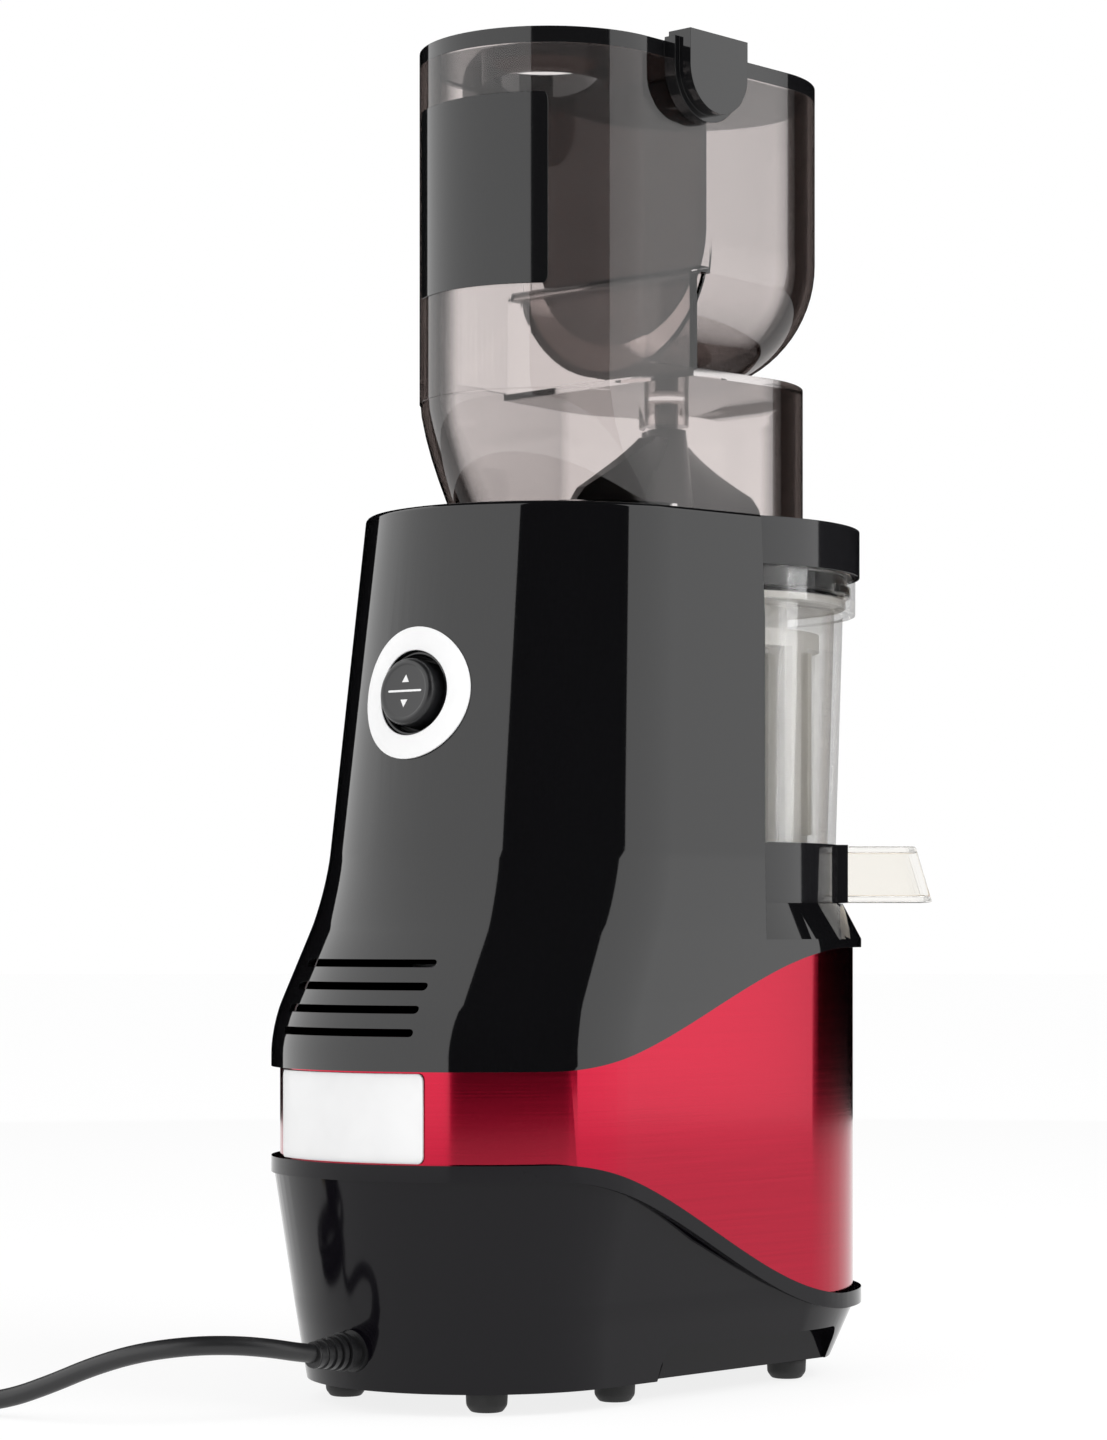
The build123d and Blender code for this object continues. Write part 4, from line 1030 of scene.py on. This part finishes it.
def chamberBody(inset, low):
    look = hopperLook
    rear, front = 130.0, -look["chamber"] + inset
    roof, floor = look["shoulder"] - inset, look["low"] + look["heelStep"] + inset
    corner = look["chamberCorner"] - inset
    neck, step = look["chamber"] - inset - look["neck"], look["notch"][1] + inset
    heel = ((low, look["heel"][0][1] - 2),) + look["heel"] + ((look["shoulder"], look["tubeY"]),)
    levels = [(z, look["chamber"] - inset, look["tube"] - inset, y) for z, y in heel]
    body = formed("chamber", levels)
    strokes = [("line", (rear, floor)), ("line", (neck, floor)), ("line", (neck, low - 1)),
               ("line", (front, low - 1)), ("line", (front, roof - corner)),
               ("arc", (front + corner, roof - corner), -90, 10),
               ("line", (step, roof)), ("line", (step, roof + 10)), ("line", (rear, roof + 10))]
    return shape(body, sidePrism("chamberSide", (rear, roof + 10), strokes, 90), "INTERSECT")


def hopperBody(inset, low, top):
    body = tubeBody(inset, top)
    shape(body, pouchBody(inset, top), "UNION")
    shape(body, chamberBody(inset, low), "UNION")
    return body


def makeHopper():
    look = hopperLook
    body = hopperBody(0, look["low"], look["top"])
    inside = hopperBody(look["wall"], look["low"] - 3, look["top"] + 3)
    finishWith(body, "BEVEL", width=look["outerEdge"] * mm, segments=4, limit_method="ANGLE",
               angle_limit=math.radians(40))
    shape(body, inside)
    body.name = "hopper"
    boss = rod("boss", look["bossRadius"], look["bossLow"], look["shoulder"] - 1, 48)
    shape(body, boss, "UNION")
    shape(body, rod("bossHole", *look["bossHole"], 48))
    radius, y, z = look["pinHole"]
    shape(body, tipped(rod("pinHole", radius, -60, 60, 32), place(0, y, z), 90, "Y"))
    softened(body, 0)
    return replaceNode(body, "hopper", "hopper_smoke", "hopper_lid", "smokyHopper")


makeHopper()
print("hopper modelled")

# bare dark panel on the rear of the tube
panelLook = {"from": 56.0, "to": 132.0, "low": 376.0, "high": 440.5, "corner": 3.5,
             "thickness": 0.35}


def makePanel():
    radius, middleY = hopperLook["tube"], hopperLook["tubeY"]
    piece = bowedSheet("barePanel", panelLook, radius, middleY, 36, 5)
    softened(piece, 0.1, 1)
    settle(piece, "barePanel", "hopper_lid")
    dress(piece, "rim_black")


makePanel()
print("panel laid on the tube")

# pieces refined from plain solids: each with its edge rounding in millimetres
trimLook = {
    "hopper_rim": ("hopperRim", 0.7, 3, "rim_black", "hopper_lid"),
    "flip_gate": ("flipGate", 0.5, 2, "gate_smoke", "gate"),
    "lid_ring": ("lidRing", 0.6, 3, "bowl_black", "hopper_lid"),
    "bowl_base_ring": ("bowlBaseRing", 0.5, 2, "bowl_black", "bowl"),
    "juice_bowl": ("juiceBowl", 0.5, 3, "bowl_clear", "bowl"),
    "juice_spout": ("juiceSpout", 0.7, 3, "spout_clear", "bowl"),
    "pulp_spout": ("pulpSpout", 0.7, 3, "spout_clear", "bowl"),
    "cord_gland": ("cordGland", 0.5, 2, "cord_black", "base"),
    "rubber_feet": ("rubberFeet", 0.6, 2, "foot_rubber", "base"),
    "plug_body": ("plugBody", 0.9, 3, "cord_black", "base"),
    "plug_pins": ("plugPins", 0.3, 2, "brass", "base"),
    "gate_pins": ("gatePins", 0.4, 2, "steel", "gate"),
}
for node, (name, width, segments, finish, body) in trimLook.items():
    replaceNode(copied(node, name, width, segments), node, finish, body)

# studio: pale floor, white surroundings, dark cards that only gloss shows
studio = {
    "floorColour": (0.93, 0.93, 0.935),
    "floorLight": 1.04,
    "floorShare": 0.80,               # how much of the floor is its own light
    "surroundings": 0.78,             # light that the white room throws on matte surfaces
    "floorRadius": 14.0,
    "floorDrop": 0.0004,              # the floor lies just under the feet
    "lamps": {"key": ((-1.4, -0.4, 1.7), 1.3, 26.0), "fill": ((0.3, 1.9, 1.2), 1.2, 9.0)},
    "aim": (0, 0, 0.22),
    "cardDistance": 1.9,
    "darkCards": [(-5.0, 64.0), (180.0, 309.0)],     # spans in degrees from -X
    "brightCards": [(64.0, 180.0), (-51.0, -5.0)],
    "brightness": 1.85,
    "cardLow": -0.3,
    "cardHigh": 2.6,
}


def makeFloor():
    pickNothing()
    bpy.ops.mesh.primitive_circle_add(vertices=64, radius=studio["floorRadius"],
                                      fill_type="NGON", location=(0, 0, -studio["floorDrop"]))
    floor = bpy.context.object
    floor.name = "floor"
    sheet = Sheet("floorPaint")
    path = sheet.node("ShaderNodeLightPath", output="Is Camera Ray")
    glossy = sheet.node("ShaderNodeLightPath", output="Is Glossy Ray")
    through = sheet.node("ShaderNodeLightPath", output="Is Transmission Ray")
    sheet.set(Base_Color=studio["floorColour"], Roughness=0.6)
    seen = (path + glossy + through).clamp()
    light = sheet.node("ShaderNodeEmission", {}, {
        "Color": (1, 1, 1, 1), "Strength": studio["floorLight"]})
    blend = sheet.tree.nodes.new("ShaderNodeMixShader")
    sheet.feed(blend.inputs[0], seen * studio["floorShare"])
    sheet.tree.links.new(sheet.shader.outputs[0], blend.inputs[1])
    sheet.tree.links.new(light.socket, blend.inputs[2])
    output = sheet.tree.nodes["Material Output"]
    sheet.tree.links.new(blend.outputs[0], output.inputs["Surface"])
    floor.data.materials.append(sheet.material)
    return floor


def makeSurroundings():
    world = bpy.data.worlds.new("room")
    world.use_nodes = True
    bpy.context.scene.world = world
    tree = world.node_tree
    rays = tree.nodes.new("ShaderNodeLightPath")
    total = rays.outputs["Is Camera Ray"]
    for kind in ("Is Glossy Ray", "Is Transmission Ray"):
        joined = tree.nodes.new("ShaderNodeMath")
        joined.operation = "ADD"
        joined.use_clamp = True
        tree.links.new(total, joined.inputs[0])
        tree.links.new(rays.outputs[kind], joined.inputs[1])
        total = joined.outputs[0]
    level = tree.nodes.new("ShaderNodeMath")
    level.operation = "MULTIPLY_ADD"
    level.inputs[1].default_value = 1.0 - studio["surroundings"]
    level.inputs[2].default_value = studio["surroundings"]
    tree.links.new(total, level.inputs[0])
    background = tree.nodes["Background"]
    background.inputs["Color"].default_value = (1, 1, 1, 1)
    tree.links.new(level.outputs[0], background.inputs["Strength"])


def hideFromAllButGloss(card):
    card.visible_camera = False
    card.visible_diffuse = False
    card.visible_transmission = False
    card.visible_shadow = False
    card.visible_volume_scatter = False


def matteBlack(name):
    sheet = Sheet(name)
    sheet.set(Base_Color=(0.001, 0.001, 0.001), Roughness=1.0, Specular_IOR_Level=0.0)
    return sheet


def makeCard(start, end, bright):
    # a curved card standing round the machine that only gloss shows
    card = onePoint((0, 0, 0))
    angle = math.radians(180 - start)
    reach = studio["cardDistance"]
    bpy.ops.transform.translate(value=(
        reach * math.cos(angle), bowlAxis.y + reach * math.sin(angle), studio["cardLow"]))
    bpy.ops.mesh.extrude_region_move(TRANSFORM_OT_translate={
        "value": (0, 0, studio["cardHigh"] - studio["cardLow"])})
    bpy.ops.mesh.select_all(action="SELECT")
    bpy.ops.mesh.spin(steps=24, angle=math.radians(end - start),
                      center=(0, bowlAxis.y, 0), axis=(0, 0, 1))
    closeMesh()
    card.name = "brightCard" if bright else "darkCard"
    sheet = matteBlack(card.name)
    if bright:
        sheet.set(Emission_Color=(1, 1, 1), Emission_Strength=studio["brightness"])
    card.data.materials.append(sheet.material)
    hideFromAllButGloss(card)


def makeCeiling():
    # a dark disc overhead, seen by gloss alone
    pickNothing()
    bpy.ops.mesh.primitive_circle_add(vertices=48, radius=studio["cardDistance"], fill_type="NGON",
                                      location=(0, bowlAxis.y, studio["cardHigh"]))
    disc = bpy.context.object
    disc.name = "ceilingCard"
    sheet = matteBlack("ceilingCard")
    disc.data.materials.append(sheet.material)
    hideFromAllButGloss(disc)


def makeLamp(name, spot, size, power):
    data = bpy.data.lights.new(name, "AREA")
    data.shape = "SQUARE"
    data.size = size
    data.energy = power
    lamp = bpy.data.objects.new(name, data)
    lamp.location = spot
    lamp.rotation_euler = (Vector(studio["aim"]) - Vector(spot)).to_track_quat("-Z", "Y").to_euler()
    lamp.visible_glossy = False
    lamp.visible_camera = False
    lamp.visible_transmission = False
    bpy.context.scene.collection.objects.link(lamp)


makeFloor()
makeSurroundings()
for start, end in studio["darkCards"]:
    makeCard(start, end, False)
for start, end in studio["brightCards"]:
    makeCard(start, end, True)
makeCeiling()
for name, lamp in studio["lamps"].items():
    makeLamp(name, *lamp)
bpy.context.scene.view_settings.view_transform = "Standard"
print("studio ready")

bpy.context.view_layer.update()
tuple(place(*cordFacts["route"][0]))
